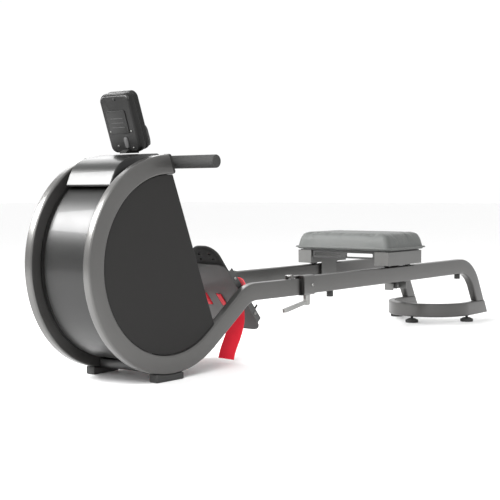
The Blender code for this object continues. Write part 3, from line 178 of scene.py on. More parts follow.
def in_frame(points, side):
    """(along, up, across) of a ring frame turned by its splay and set at its side."""
    turn = side * SPLAY_ANGLE
    x = points[..., 0] * math.cos(turn) - points[..., 2] * math.sin(turn)
    y = points[..., 0] * math.sin(turn) + points[..., 2] * math.cos(turn)
    return np.stack([x, y + side * (FRAME_HALF_WIDTH - TUBE_DEPTH / 2), points[..., 1]], -1)


def upright(points, y):
    """(along, up, across) set at a sideways place without a turn."""
    return np.stack([points[..., 0], points[..., 2] + y, points[..., 1]], -1)


def spin(name, profile, centre, axis="Y", count=64, caps=True):
    """A turned piece: each (radius, offset) of a profile goes round the axis once."""
    profile = np.asarray(profile, float)
    angle = np.linspace(0, math.tau, count, endpoint=False)
    radius = profile[:, None, 0]
    height = np.broadcast_to(profile[:, None, 1], (len(profile), count))
    u = radius * np.cos(angle)
    v = radius * np.sin(angle)
    order = {"X": (height, u, v), "Y": (u, height, v), "Z": (u, v, height)}[axis]
    return surface(name, np.stack(order, -1) + np.asarray(centre), across=True, caps=caps)


def softened(profile, radius, count=4):
    """A profile whose inner corners are quadratic curves that start radius before each corner."""
    profile = np.asarray(profile, float)
    out = [profile[:1]]
    for before, corner, after in zip(profile, profile[1:], profile[2:]):
        a = corner - before
        b = after - corner
        la = np.linalg.norm(a)
        lb = np.linalg.norm(b)
        cut = min(radius, la / 2.1, lb / 2.1)
        t = np.linspace(0, 1, count)[:, None]
        p = corner - a / la * cut
        q = corner + b / lb * cut
        out.append((1 - t) ** 2 * p + 2 * t * (1 - t) * corner + t ** 2 * q)
    out.append(profile[-1:])
    return np.concatenate(out)


def slab(name, outline, thickness, place, edge=0.001, steps=3):
    """A flat piece: an outline offset inwards along a quarter circle at both faces.

    place turns (across, up, out) into the model's axes.
    """
    way = np.roll(outline, -1, 0) - np.roll(outline, 1, 0)
    way = way / np.linalg.norm(way, axis=1, keepdims=True)
    inward = np.stack([-way[:, 1], way[:, 0]], -1)
    angle = np.linspace(0, math.pi / 2, steps + 1)
    inset = edge * (1 - np.sin(angle))
    height = thickness / 2 - edge * (1 - np.cos(angle))
    inset = np.concatenate([inset, inset[::-1]])
    height = np.concatenate([height, -height[::-1]])
    flat = outline[None] + inward[None] * inset[:, None, None]
    out = np.broadcast_to(height[:, None, None], flat.shape[:2] + (1,))
    points = np.concatenate([flat, out], -1)
    return surface(name, place(points), across=True, caps=True)


def refined(node, bevel=0.0006, angle=35, segments=2):
    """A copy of a CAD node with its triangles merged, its edges rounded and its round faces smooth."""
    mesh = nodes[node].data.copy()
    mesh.materials.clear()
    bm = bmesh.new()
    bm.from_mesh(mesh)
    bmesh.ops.remove_doubles(bm, verts=bm.verts, dist=0.000005)
    bmesh.ops.dissolve_limit(bm, angle_limit=math.radians(0.5), verts=bm.verts, edges=bm.edges)
    bm.to_mesh(mesh)
    bm.free()
    mesh.shade_smooth()
    mesh.set_sharp_from_angle(angle=math.radians(angle))
    obj = bpy.data.objects.new(node + "_finished", mesh)
    bpy.context.scene.collection.objects.link(obj)
    if bevel:
        edge = obj.modifiers.new("Edge", 'BEVEL')
        edge.width = bevel
        edge.segments = segments
        edge.limit_method = 'ANGLE'
        edge.angle_limit = math.radians(angle)
        edge.harden_normals = False
    return obj


# ---------------------------------------------------------------- finishes

class Value:
    """A node socket whose arithmetic adds the Math nodes that work it out."""

    def __init__(self, look, socket):
        self.look = look
        self.socket = socket

    def _math(self, operation, *values):
        return self.look.node("ShaderNodeMath", {"operation": operation}, values)[0]

    def __add__(self, other):
        return self._math('ADD', self, other)

    __radd__ = __add__

    def __mul__(self, other):
        return self._math('MULTIPLY', self, other)

    __rmul__ = __mul__

    def __sub__(self, other):
        return self._math('SUBTRACT', self, other)

    def __rsub__(self, other):
        return self._math('SUBTRACT', other, self)

    def __pow__(self, other):
        return self._math('POWER', self, other)

    def above(self, limit):
        """One where this value is over a limit, or else nought."""
        return self._math('GREATER_THAN', self, limit)


class Look:
    """One material and its nodes."""

    def __init__(self, name, **constants):
        self.material = bpy.data.materials.new(name)
        self.material.use_nodes = True
        self.tree = self.material.node_tree
        self.shader = self.tree.nodes["Principled BSDF"]
        for socket, value in constants.items():
            self.shader.inputs[socket.replace("_", " ").title()].default_value = value

    def node(self, kind, settings=None, values=()):
        """Add a node, set it up, fill or link its sockets, and give its outputs."""
        made = self.tree.nodes.new(kind)
        for key, value in (settings or {}).items():
            setattr(made, key, value)
        pairs = values.items() if isinstance(values, dict) else enumerate(values)
        for key, value in pairs:
            if isinstance(value, Value):
                self.tree.links.new(value.socket, made.inputs[key])
            else:
                made.inputs[key].default_value = value
        return [Value(self, output) for output in made.outputs]

    def place(self, scale=(1, 1, 1), uv=False):
        """Object coordinates, or the piece's own UV map, stretched by a scale."""
        outputs = self.node("ShaderNodeTexCoord")
        return self.node("ShaderNodeMapping", None,
                         {"Vector": outputs[2 if uv else 3], "Scale": scale})[0]

    def noise(self, scale, detail=3.0, stretch=(1, 1, 1), roughness=0.5):
        """Cloudy variation from nought to one."""
        return self.node("ShaderNodeTexNoise", None, {
            "Vector": self.place(stretch), "Scale": scale, "Detail": detail,
            "Roughness": roughness})[0]

    def cells(self, scale, feature='F1', stretch=(1, 1, 1)):
        """Distance within small cells."""
        return self.node("ShaderNodeTexVoronoi", {"feature": feature},
                         {"Vector": self.place(stretch), "Scale": scale})[0]

    def blend(self, factor, first, second):
        """One colour turning into another."""
        return self.node("ShaderNodeMix", {"data_type": 'RGBA'},
                         {0: factor, 6: (*first, 1.0), 7: (*second, 1.0)})[2]

    def colour(self, value):
        self.tree.links.new(value.socket, self.shader.inputs["Base Color"])

    def roughness(self, value):
        self.tree.links.new(value.socket, self.shader.inputs["Roughness"])

    def relief(self, height, distance, strength=1.0):
        """A bump of a real height in metres."""
        bump = self.node("ShaderNodeBump", None, {"Strength": strength, "Distance": distance,
                                                  "Height": height})[0]
        self.tree.links.new(bump.socket, self.shader.inputs["Normal"])


def painted_look(name, dark, light, metallic, roughness, coat=0.3):
    """Metallic paint: fine flakes, a slow change of tone and a faint orange-peel skin."""
    look = Look(name, metallic=metallic, coat_weight=coat, coat_roughness=0.18)
    flakes = look.noise(1400, 2)
    tone = look.noise(5, 3)
    look.colour(look.blend(flakes * 0.5 + tone * 0.5, dark, light))
    look.roughness(roughness - 0.06 + flakes * 0.08 + look.noise(30, 4) * 0.06)
    look.relief(look.noise(260, 2) + flakes * 0.25, 0.00005)
    return look.material


def plastic_look(name, dark, light, roughness, grain, depth, coat=0.0, shine=0.22):
    """Moulded plastic: spark-eroded grain and slight handling marks."""
    look = Look(name, coat_weight=coat, coat_roughness=0.05)
    look.shader.inputs["Specular IOR Level"].default_value = shine
    fine = look.noise(grain, 3)
    marks = look.noise(18, 5, roughness=0.65)
    look.colour(look.blend(fine * 0.6 + marks * 0.4, dark, light))
    look.roughness(roughness - 0.05 + marks * 0.1 + fine * 0.06)
    look.relief(fine + look.noise(grain * 0.4, 2) * 0.5, depth)
    return look.material


def steel_look(name, tone, roughness, stretch):
    """Bare or plated steel: fine lines from working along one direction."""
    look = Look(name, metallic=1.0)
    lines = look.noise(500, 4, stretch)
    marks = look.noise(22, 4)
    look.colour(look.blend(marks, tuple(0.78 * t for t in tone), tone))
    look.roughness(roughness + lines * 0.14 + marks * 0.08)
    look.relief(lines, 0.00004)
    return look.material


def vinyl_look():
    """Upholstery vinyl: pebbled grain of small cells with fine creases between."""
    look = Look("vinyl", sheen_weight=0.12, sheen_roughness=0.4)
    pebbles = look.cells(620, 'F1')
    creases = look.cells(300, 'DISTANCE_TO_EDGE')
    tone = look.noise(7, 3)
    look.colour(look.blend(tone * 0.6 + pebbles * 0.5, (0.056, 0.060, 0.057), (0.088, 0.093, 0.089)))
    look.roughness(0.42 + pebbles * 0.14 + tone * 0.08)
    look.relief((1 - pebbles) + creases * 1.2 + look.noise(1600, 2) * 0.3, 0.00022)
    return look.material


def woven_look(name, dark, light):
    """Webbing: ribs across the band and finer threads along it, from the band's own UV map."""
    look = Look(name, sheen_weight=0.2, sheen_roughness=0.5)
    across = look.node("ShaderNodeTexWave", {"bands_direction": 'X', "wave_profile": 'SIN'},
                       {"Vector": look.place(uv=True), "Scale": 130.0, "Distortion": 0.4,
                        "Detail": 1.0})[1]
    threads = look.node("ShaderNodeTexWave", {"bands_direction": 'Y', "wave_profile": 'SIN'},
                        {"Vector": look.place(uv=True), "Scale": 210.0, "Distortion": 0.5,
                         "Detail": 1.0})[1]
    fuzz = look.noise(900, 3)
    look.colour(look.blend(across * 0.45 + threads * 0.25 + fuzz * 0.3, dark, light))
    look.roughness(0.72 + fuzz * 0.15)
    look.relief(across * 0.7 + threads * 0.5 + fuzz * 0.2, 0.0003)
    return look.material


def foam_look():
    """Closed-cell foam: crowded small pores."""
    look = Look("foam")
    pores = look.cells(900, 'F1')
    look.colour(look.blend(pores * 0.7 + look.noise(40, 3) * 0.3, (0.010, 0.010, 0.010),
                           (0.040, 0.040, 0.039)))
    look.roughness(0.8 + look.noise(300, 2) * 0.12)
    look.relief(pores + look.noise(2000, 2) * 0.3, 0.00025)
    return look.material


def rubber_look():
    """Dull rubber with a mealy surface."""
    look = Look("rubber")
    fine = look.noise(700, 4)
    look.colour(look.blend(fine, (0.012, 0.012, 0.012), (0.032, 0.032, 0.031)))
    look.roughness(0.62 + fine * 0.2)
    look.relief(fine, 0.0001)
    return look.material


def window_look():
    """The dark window over the console's display."""
    look = Look("console_window", coat_weight=1.0, coat_roughness=0.03)
    look.colour(look.blend(look.noise(12, 2), (0.010, 0.012, 0.013), (0.020, 0.023, 0.024)))
    look.roughness(0.10 + look.noise(60, 4) * 0.05)
    return look.material


LOOKS = {
    "frame_paint": painted_look("frame_paint", (0.064, 0.063, 0.061), (0.108, 0.106, 0.103), 0.7, 0.33),
    # painted light: the carriage brackets get the frame's grey paint made lighter, standing for the light on
    # their lit front faces
    "carriage_paint": painted_look("carriage_paint", (0.085, 0.085, 0.082), (0.135, 0.135, 0.131), 0.5, 0.40),
    "black_steel": painted_look("black_steel", (0.016, 0.016, 0.016), (0.034, 0.034, 0.033), 0.2, 0.46),
    "black_gloss": plastic_look("black_gloss", (0.003, 0.003, 0.003), (0.007, 0.007, 0.0065), 0.33, 90,
                                0.00002, 0.1, 0.3),
    "black_matt": plastic_look("black_matt", (0.009, 0.009, 0.0085), (0.018, 0.0175, 0.017), 0.5, 900,
                               0.00007),
    "case_plastic": plastic_look("case_plastic", (0.004, 0.004, 0.004), (0.010, 0.010, 0.0095), 0.36, 900,
                                 0.00004),
    "grey_plastic": plastic_look("grey_plastic", (0.06, 0.06, 0.06), (0.09, 0.09, 0.09), 0.4, 700, 0.00004),
    "panel": plastic_look("panel", (0.008, 0.0075, 0.0072), (0.014, 0.0135, 0.013), 0.50, 1300, 0.00005),
    "bare_steel": steel_look("bare_steel", (0.34, 0.34, 0.33), 0.28, (1, 0.05, 1)),
    "cast_iron": steel_look("cast_iron", (0.20, 0.20, 0.20), 0.42, (1, 1, 1)),
    "rubber": rubber_look(),
    "foam": foam_look(),
    "vinyl": vinyl_look(),
    "nylon": plastic_look("nylon", (0.020, 0.020, 0.020), (0.045, 0.045, 0.044), 0.42, 500, 0.00004),
    "webbing": woven_look("webbing", (0.010, 0.010, 0.010), (0.040, 0.040, 0.040)),
    "red_webbing": woven_look("red_webbing", (0.50, 0.0, 0.010), (0.86, 0.0, 0.028)),
    "console_window": window_look(),
}


def fit(obj, body, look, replaced=()):
    """Give a piece its finish and body, and hide the CAD nodes that it stands for."""
    obj.data.materials.clear()
    obj.data.materials.append(LOOKS[look])
    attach(obj, body)
    if replaced:
        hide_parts(*replaced)
    return obj


# ---------------------------------------------------------------- camera, light and floor

def camera():
    """The viewpoint: low, in front of the housing and to its near side."""
    yaw = 0.6535
    pitch = -0.0522
    roll = -0.003
    place = Vector((-2.1351, -2.0175, 0.4877)) + Vector(HOME)
    forward = Vector((math.cos(pitch) * math.cos(yaw), math.cos(pitch) * math.sin(yaw), math.sin(pitch)))
    right = Vector((math.sin(yaw), -math.cos(yaw), 0))
    up = right.cross(forward)
    turned_right = right * math.cos(roll) + up * math.sin(roll)
    turned_up = up * math.cos(roll) - right * math.sin(roll)
    lens = bpy.data.cameras.new("camera")
    lens.sensor_width = 36.0
    lens.lens = 79.23
    lens.clip_end = 100
    obj = bpy.data.objects.new("camera", lens)
    matrix = Matrix((turned_right, turned_up, -forward)).transposed().to_4x4()
    matrix.translation = place
    obj.matrix_world = matrix
    bpy.context.scene.collection.objects.link(obj)
    bpy.context.scene.camera = obj


def light(name, size, power, place, target, height=None):
    """A soft panel of light aimed at a point."""
    lamp = bpy.data.lights.new(name, 'AREA')
    lamp.shape = 'RECTANGLE'
    lamp.size = size
    lamp.size_y = height or size
    lamp.energy = power
    obj = bpy.data.objects.new(name, lamp)
    way = Vector(target) - Vector(place)
    obj.location = place
    obj.rotation_euler = way.to_track_quat('-Z', 'Y').to_euler()
    bpy.context.scene.collection.objects.link(obj)


def studio():
    """A white floor and backdrop with broad soft lights."""
    world = bpy.data.worlds.new("studio")
    world.use_nodes = True
    world.node_tree.nodes["Background"].inputs["Color"].default_value = (1.0, 1.0, 1.0, 1.0)
    world.node_tree.nodes["Background"].inputs["Strength"].default_value = 1.02
    bpy.context.scene.world = world
    bpy.context.scene.view_settings.view_transform = 'Standard'
    floor_mesh = bpy.data.meshes.new("floor")
    reach = 40.0
    floor_mesh.from_pydata([(-reach, -reach, 0), (reach, -reach, 0), (reach, reach, 0), (-reach, reach, 0)],
                           [], [(0, 1, 2, 3)])
    floor = bpy.data.objects.new("floor", floor_mesh)
    floor.location.z = -0.0005
    white = bpy.data.materials.new("floor")
    white.use_nodes = True
    shader = white.node_tree.nodes["Principled BSDF"]
    shader.inputs["Base Color"].default_value = (0.94, 0.94, 0.94, 1.0)
    shader.inputs["Roughness"].default_value = 0.6
    shader.inputs["Specular IOR Level"].default_value = 0.2
    floor_mesh.materials.append(white)
    bpy.context.scene.collection.objects.link(floor)
    light("key", 2.0, 95, (-3.0, -1.4, 2.5), (-0.3, 0, 0.3))
    light("drum", 1.5, 190, (-2.5, 1.8, 2.1), (-0.9, 0, 0.35), 1.1)
    light("back", 2.0, 40, (1.2, 2.8, 2.4), (0.0, 0, 0.3))


camera()
studio()


# ---------------------------------------------------------------- ring frames

def frame_path():
    """Centreline of ring, riser, bend and stub, as one run of points."""
    middle = RING_RADIUS - TUBE_WIDTH / 2
    ring = arc((0, RING_HEIGHT), middle, 90, 270 + math.degrees(RISER_ANGLE), 100)
    ring = np.delete(ring, [1, 2], axis=0)
    foot = ring[-1]
    way = np.array([math.cos(RISER_ANGLE), math.sin(RISER_ANGLE)])
    corner = foot + way * (STUB_HEIGHT - foot[1]) / way[1]
    reach = RISER_BEND * math.tan(RISER_ANGLE / 2)
    bend = arc((corner[0] + reach, STUB_HEIGHT - RISER_BEND), RISER_BEND,
               90 + math.degrees(RISER_ANGLE), 90, 20)
    return np.concatenate([ring, bend, [[STUB_END, STUB_HEIGHT]]])


def ring_frame(name, side):
    """The bent tube: a rounded section swept along its path, its top end cut aslant."""
    section = rounded(TUBE_WIDTH, TUBE_DEPTH, TUBE_CORNER, 7)
    points = sweep_flat(frame_path(), section)
    above_middle = points[0, :, 1] - RING_HEIGHT - RING_RADIUS + TUBE_WIDTH / 2
    points[0, :, 0] = -above_middle * math.tan(TOP_CUT_ANGLE)
    points[-1, :, 0] = STUB_END
    tube = surface(name + "_tube", in_frame(points, side), across=True, caps=True)
    return fit(tube, "frame", "frame_paint", (name,))


def end_plug(name, ring, out, side, thick):
    """A black plug on a tube's end: its outline steps out from the end and rounds over."""
    steps = ((-0.004, 0.985), (0.0003, 0.985), (0.0004, 1.0), (thick * 0.7, 1.0), (thick * 0.93, 0.965),
             (thick, 0.90))
    middle = ring.mean(axis=0)
    rows = [middle + (ring - middle) * size + np.asarray(out) * far for far, size in steps]
    plug = surface(name, in_frame(np.stack(rows), side), across=True, caps=True)
    return fit(plug, "frame", "black_matt")


def ears(name, side):
    """Two upright ears on the stub that hold the hinge pin."""
    middle = FRAME_HALF_WIDTH + 0.045 * 0.508 - TUBE_DEPTH / 2
    spread = TUBE_DEPTH / 2 - TUBE_CORNER / 3 - 0.0015
    outline = np.concatenate([arc((0.508, 0.2400), 0.0065, 0, 180, 16),
                              [[0.5015, 0.2315], [0.5145, 0.2315]]])
    made = []
    for offset in (-spread, spread):
        y = side * (middle + offset)
        made.append(slab(name, outline, 0.003, lambda p, y=y: upright(p, y), 0.0005))
    return fit(join(name, made), "frame", "frame_paint")


for label, side in SIDES:
    ring_frame(label + "_front_frame", side)
    section = rounded(TUBE_WIDTH, TUBE_DEPTH, TUBE_CORNER, 7)
    top = np.stack([-section[:, 0] * math.tan(TOP_CUT_ANGLE),
                    RING_HEIGHT + RING_RADIUS - TUBE_WIDTH / 2 + section[:, 0], section[:, 1]], -1)
    end_plug(label + "_ring_plug", top, (math.cos(TOP_CUT_ANGLE), math.sin(TOP_CUT_ANGLE), 0), side, 0.008)
    stub = np.stack([np.full(len(section), STUB_END), STUB_HEIGHT + section[:, 0], section[:, 1]], -1)
    end_plug(label + "_stub_plug", stub, (1, 0, 0), side, 0.006)
    ears(label + "_hinge_ears", side)


# ---------------------------------------------------------------- housing

COVER_RADIUS = 0.257


def inner_width(x):
    """Half the space between the two splayed frames at a place along the machine."""
    return FRAME_HALF_WIDTH - TUBE_DEPTH - 0.0008 + 0.045 * x


def drum_cover():
    """The drum: radius over half width, with soft shoulders, swept from under the hood to the rear."""
    across = np.concatenate(
        [np.linspace(1.0, 0.92, 3), np.linspace(0.90, 0.76, 12), np.linspace(0.72, 0, 10)])
    across = np.concatenate([across, -across[-2::-1]])
    angle = np.radians(np.linspace(124.3, 312.0, 150))
    rise = 0.5 - 0.5 * np.cos(np.pi * np.clip((0.90 - np.abs(across)) / 0.12, 0, 1))
    radius = COVER_RADIUS - 0.005 + 0.005 * rise
    x = radius * np.cos(angle)[:, None]
    z = RING_HEIGHT + radius * np.sin(angle)[:, None]
    y = across * inner_width(x)
    skin = surface("drum_cover", np.stack([x, y, z], -1)[:, ::-1])
    wall = skin.modifiers.new("Wall", 'SOLIDIFY')
    wall.thickness = 0.003
    wall.offset = -1.0 if outward(skin, (0, 0, RING_HEIGHT)) else 1.0
    return fit(skin, "frame", "black_gloss", ("front_cover",))


def outward(obj, centre):
    """Whether an open skin's normals point away from a place."""
    face = obj.data.polygons[0]
    return face.normal.dot(face.center - Vector(HOME) - Vector(centre)) > 0


def hood():
    """The hood: its side outline near the frames rises to a prouder band, blended by half a cosine."""
    count = 40
    t = np.linspace(0, 1, count)
    band = softened([(-0.175, 0.505), (-0.165, 0.528), (-0.153, 0.549), (-0.135, 0.5646),
                     (-0.116, 0.574), (-0.080, 0.583), (-0.040, 0.5885), (-0.006, 0.590)], 0.012, 6)
    run = np.concatenate([[0], np.linalg.norm(np.diff(band, axis=0), axis=1)]).cumsum()
    band = np.stack([np.interp(t * run[-1], run, band[:, i]) for i in (0, 1)], -1)
    radius = 0.256 + 0.028 * np.clip(t * 7 / 4, 0, 1)
    angle = np.radians(126.5 - 35 * t)
    edge = np.stack([radius * np.cos(angle), RING_HEIGHT + radius * np.sin(angle)], -1)
    across = np.concatenate([np.linspace(1.0, 0.95, 3), np.linspace(0.94, 0.80, 12), np.linspace(0.76, 0, 8)])
    across = np.concatenate([across, -across[-2::-1]])
    rise = (0.5 - 0.5 * np.cos(np.pi * np.clip((0.94 - np.abs(across)) / 0.13, 0, 1)))[None, :, None]
    flat = edge[:, None] * (1 - rise) + band[:, None] * rise
    y = across[None] * inner_width(flat[..., 0])
    skin = surface("hood", np.stack([flat[..., 0], y, flat[..., 1]], -1))
    wall = skin.modifiers.new("Wall", 'SOLIDIFY')
    wall.thickness = 0.003
    wall.offset = -1.0 if outward(skin, (0, 0, RING_HEIGHT)) else 1.0
    return fit(skin, "frame", "black_gloss", ("top_cover",))


def screw(name, place, out, radius, body, look="bare_steel"):
    """A pan-head screw with a round recess."""
    profile = [(0, -0.0005), (radius, -0.0005), (radius, radius * 0.25), (radius * 0.8, radius * 0.55),
               (radius * 0.45, radius * 0.65), (radius * 0.42, radius * 0.25), (0, radius * 0.2)]
    profile = np.asarray(profile)
    angle = np.linspace(0, math.tau, 24, endpoint=False)
    ring = profile[:, None, 0]
    flat = np.stack([ring * np.cos(angle), ring * np.sin(angle),
                     np.broadcast_to(profile[:, None, 1], (len(profile), 24))], -1)
    turn = np.array(Vector((0, 0, 1)).rotation_difference(Vector(out)).to_matrix())
    obj = surface(name, flat @ turn.T + np.asarray(place), across=True, caps=True)
    return fit(obj, body, look)


drum_cover()
hood()
fit(refined("rear_cover", 0.0008), "frame", "black_gloss", ("rear_cover",))
for label, side in SIDES:
    fit(refined(label + "_side_panel", 0.0006), "frame", "panel", (label + "_side_panel",))
    fit(refined(label + "_front_foot", 0.003), "frame", "rubber", (label + "_front_foot",))


# ---------------------------------------------------------------- rails and loop

def rail(name, side):
    """Rail and leg: a rounded section swept along a straight, a bend and a straight."""
    corner_x = RAIL_CORNER_X - RAIL_WIDTH / 2 * math.tan(LEG_ANGLE / 2)
    height = RAIL_TOP - RAIL_WIDTH / 2
    reach = RAIL_BEND * math.tan(LEG_ANGLE / 2)
    bend = arc((corner_x - reach, height - RAIL_BEND), RAIL_BEND, 90, 90 - math.degrees(LEG_ANGLE), 40)
    leg = np.array([math.cos(LEG_ANGLE), -math.sin(LEG_ANGLE)])
    floor = LOOP_TOP + GAP
    last = bend[-1] + leg * (bend[-1][1] - floor) / -leg[1]
    path = np.concatenate([[[RAIL_START, height]], bend, [last]])
    section = rounded(RAIL_WIDTH, RAIL_DEPTH, TUBE_CORNER, 7)
    points = sweep_flat(path, section)
    fall = (points[-1, :, 1] - floor) / -leg[1]
    points[-1, :, 0] += leg[0] * fall
    points[-1, :, 1] = floor
    tube = surface(name + "_tube", upright(points, side * RAIL_Y), across=True, caps=True)
    return fit(tube, "rear_section", "frame_paint", (name,))


def floor_bar():
    """The floor loop: a tall rounded section swept round a half circle, ends cut along the legs."""
    end = RAIL_CORNER_X + 0.10
    curve = arc((LOOP_CENTRE_X, 0), LOOP_Y, 90, 270, 70)
    path = np.concatenate([[[end, LOOP_Y]], curve, [[end, -LOOP_Y]]])
    height = LOOP_TOP - LOOP_BOTTOM
    section = rounded(LOOP_DEPTH, height, TUBE_CORNER, 7)
    points = sweep_flat(path, section)
    z = points[..., 2] + (LOOP_TOP + LOOP_BOTTOM) / 2
    points = np.stack([points[..., 0], points[..., 1], z], -1)
    for row in (0, -1):
        points[row, :, 0] = RAIL_CORNER_X + (RAIL_TOP - points[row, :, 2]) / math.tan(LEG_ANGLE)
    loop = surface("floor_bar", points, across=True, caps=True)
    return fit(loop, "rear_section", "frame_paint", ("floor_loop",))


for label, side in SIDES:
    rail(label + "_rail", side)
    fit(refined(label + "_hinge_bracket", 0.0007), "rear_section", "frame_paint",
        (label + "_hinge_bracket",))
    fit(refined(label + "_hinge_pin", 0.0006), "frame", "bare_steel", (label + "_hinge_pin",))
    for end in ("front", "rear"):
        node = "%s_%s_stop" % (label, end)
        fit(refined(node, 0.0012), "rear_section", "rubber", (node,))
        node = "%s_%s_roller" % (label, end)
        fit(refined(node, 0.0006), "%s_%s_wheel" % (label, end), "nylon", (node,))
    fit(refined(label + "_keeper_roller", 0.0005), label + "_keeper_wheel", "nylon",
        (label + "_keeper_roller",))
    fit(refined(label + "_lock_lever", 0.0014, segments=3), label + "_lever", "bare_steel",
        (label + "_lock_lever",))
    # painted light: the carriage brackets take the lighter copy of the frame paint
    fit(refined(label + "_carriage_bracket", 0.0009), "seat", "carriage_paint",
        (label + "_carriage_bracket",))
    fit(refined(label + "_levelling_foot", 0.001), label + "_screw_foot", "rubber",
        (label + "_levelling_foot",))
    screw(label + "_sleeve_screw", (0.590, side * 0.1669, 0.2108), (0, side, 0), 0.005, "rear_section")
fit(refined("centre_levelling_foot", 0.001), "centre_screw_foot", "rubber", ("centre_levelling_foot",))
fit(refined("seat_base", 0.0006), "seat", "black_steel", ("seat_base",))
floor_bar()


# ---------------------------------------------------------------- inside the housing

for node, look, body in (("front_cross_tube", "black_steel", "frame"),
                         ("rear_cross_tube", "black_steel", "frame"),
                         ("axle_bracket", "black_steel", "frame"),
                         ("flywheel_axle", "bare_steel", "frame"),
                         ("recoil_spring_case", "black_steel", "frame"),
                         ("drive_belt", "rubber", "frame"),
                         ("handle_cradle", "black_matt", "frame"),
                         ("console_bracket", "black_matt", "frame"),
                         ("flywheel", "cast_iron", "flywheel_wheel"),
                         ("strap_drum", "nylon", "drum"),
                         ("strap_idler", "nylon", "idler"),
                         ("magnet_carrier", "black_steel", "magnets"),
                         ("handle_yoke", "black_steel", "handle")):
    fit(refined(node, 0.0005), body, look, (node,))


# ---------------------------------------------------------------- handle

HANDLE = (0.050, 0.0, 0.568)
HANDLE_HALF = 0.240
GRIP_LENGTH = 0.165
BAR_RADIUS = 0.0125


def handle():
    """The bar and its two foam grips, each turned about the handle's axis."""
    half = HANDLE_HALF - 0.004
    bar = spin("handle_bar", [(BAR_RADIUS, -half), (BAR_RADIUS, half)], HANDLE)
    fit(bar, "handle", "black_steel", ("handle_tube",))
    for label, side in SIDES:
        inner = HANDLE_HALF - GRIP_LENGTH
        line = softened([(BAR_RADIUS + 0.0003, inner), (0.0172, inner), (0.0172, HANDLE_HALF),
                         (0.0, HANDLE_HALF)], 0.0055, 8)
        sealed_end = HANDLE_HALF - 0.0035
        line = np.concatenate([line, [[0.0, sealed_end], [BAR_RADIUS + 0.0003, sealed_end]]])
        line[:, 1] *= side
        grip = spin(label + "_foam_grip", np.concatenate([line, line[:1]]), HANDLE, caps=False)
        fit(grip, "handle", "foam", (label + "_grip",))
        collar = spin(label + "_grip_collar", softened([
            (BAR_RADIUS + 0.0004, side * (inner - 0.006)), (0.0155, side * (inner - 0.006)),
            (0.0155, side * (inner - 0.0004)), (BAR_RADIUS + 0.0004, side * (inner - 0.0004))], 0.0015),
            HANDLE, caps=False)
        fit(collar, "handle", "nylon")


def band_along(name, path, width, thickness, place):
    """Webbing: a thin rounded strip carried along a flat path; its edges are round."""
    section = rounded(thickness, width, thickness * 0.45, 4)
    way = tangents(path)
    normal = np.stack([-way[:, 1], way[:, 0]], -1)
    flat = path[:, None] + normal[:, None] * section[None, :, :1]
    across = np.broadcast_to(section[None, :, 1:], flat.shape[:2] + (1,))
    points = place(np.concatenate([flat, across], -1))
    return surface(name, points, across=True, caps=True, uv=True)


def pull_strap():
    """The strap from drum to yoke: round the drum, straight, over the idler and level to the bar."""
    drum = np.array([0.0, 0.150])
    idler_radius = 0.014
    thickness = 0.0016
    idler = np.array([-0.035, HANDLE[2] - idler_radius - thickness / 2 - GAP])
    over = idler_radius + thickness / 2 + 2 * GAP
    wound = 0.042 + thickness / 2 + 3 * GAP
    between = idler - drum
    turn = math.asin((wound + over) / np.linalg.norm(between))
    leave = math.degrees(math.atan2(between[1], between[0]) + turn) - 90
    path = np.concatenate([arc(drum, wound, leave - 110, leave, 30), arc(idler, over, leave + 180, 90, 20),
                           [[0.0140, idler[1] + over]]])
    strap = band_along("pull_webbing", path, 0.025, thickness, lambda p: upright(p, 0))
    fit(strap, "frame", "webbing", ("pull_strap",))


handle()
pull_strap()


# ---------------------------------------------------------------- console

PIVOT = np.array([-0.0215, 0, 0.604])
LEAN = math.radians(20)


def on_console(points):
    """(across, up, out) in the console's own axes turned by its lean and set on its pivot."""
    across, up, out = points[..., 0], points[..., 1], points[..., 2]
    return np.stack([PIVOT[0] + out * math.cos(LEAN) - up * math.sin(LEAN), across,
                     PIVOT[2] + out * math.sin(LEAN) + up * math.cos(LEAN)], -1)


CASE_BACK = -0.013
CASE_FRONT = 0.027
CASE_MIDDLE = 0.007


def chamfered(points):
    """The rear shell's back slopes forward near its top: out rises with height above 0.128."""
    points = np.array(points)
    rise = np.clip((points[..., 1] - 0.126) / 0.024, 0, 1)
    back = np.clip((0.0 - points[..., 2]) / 0.013, 0, 1)
    points[..., 2] += 0.010 * rise * rise * back
    return on_console(points)


def console_plate(name, width, height, corner, middle, out, thickness, look, edge=0.0006):
    """A rounded plate on the console's front or back."""
    outline = rounded(width, height, corner) + np.asarray(middle)
    shift = np.array([0, 0, out])
    piece = slab(name, outline, thickness, lambda p: on_console(p + shift), edge)
    return fit(piece, "console", look)


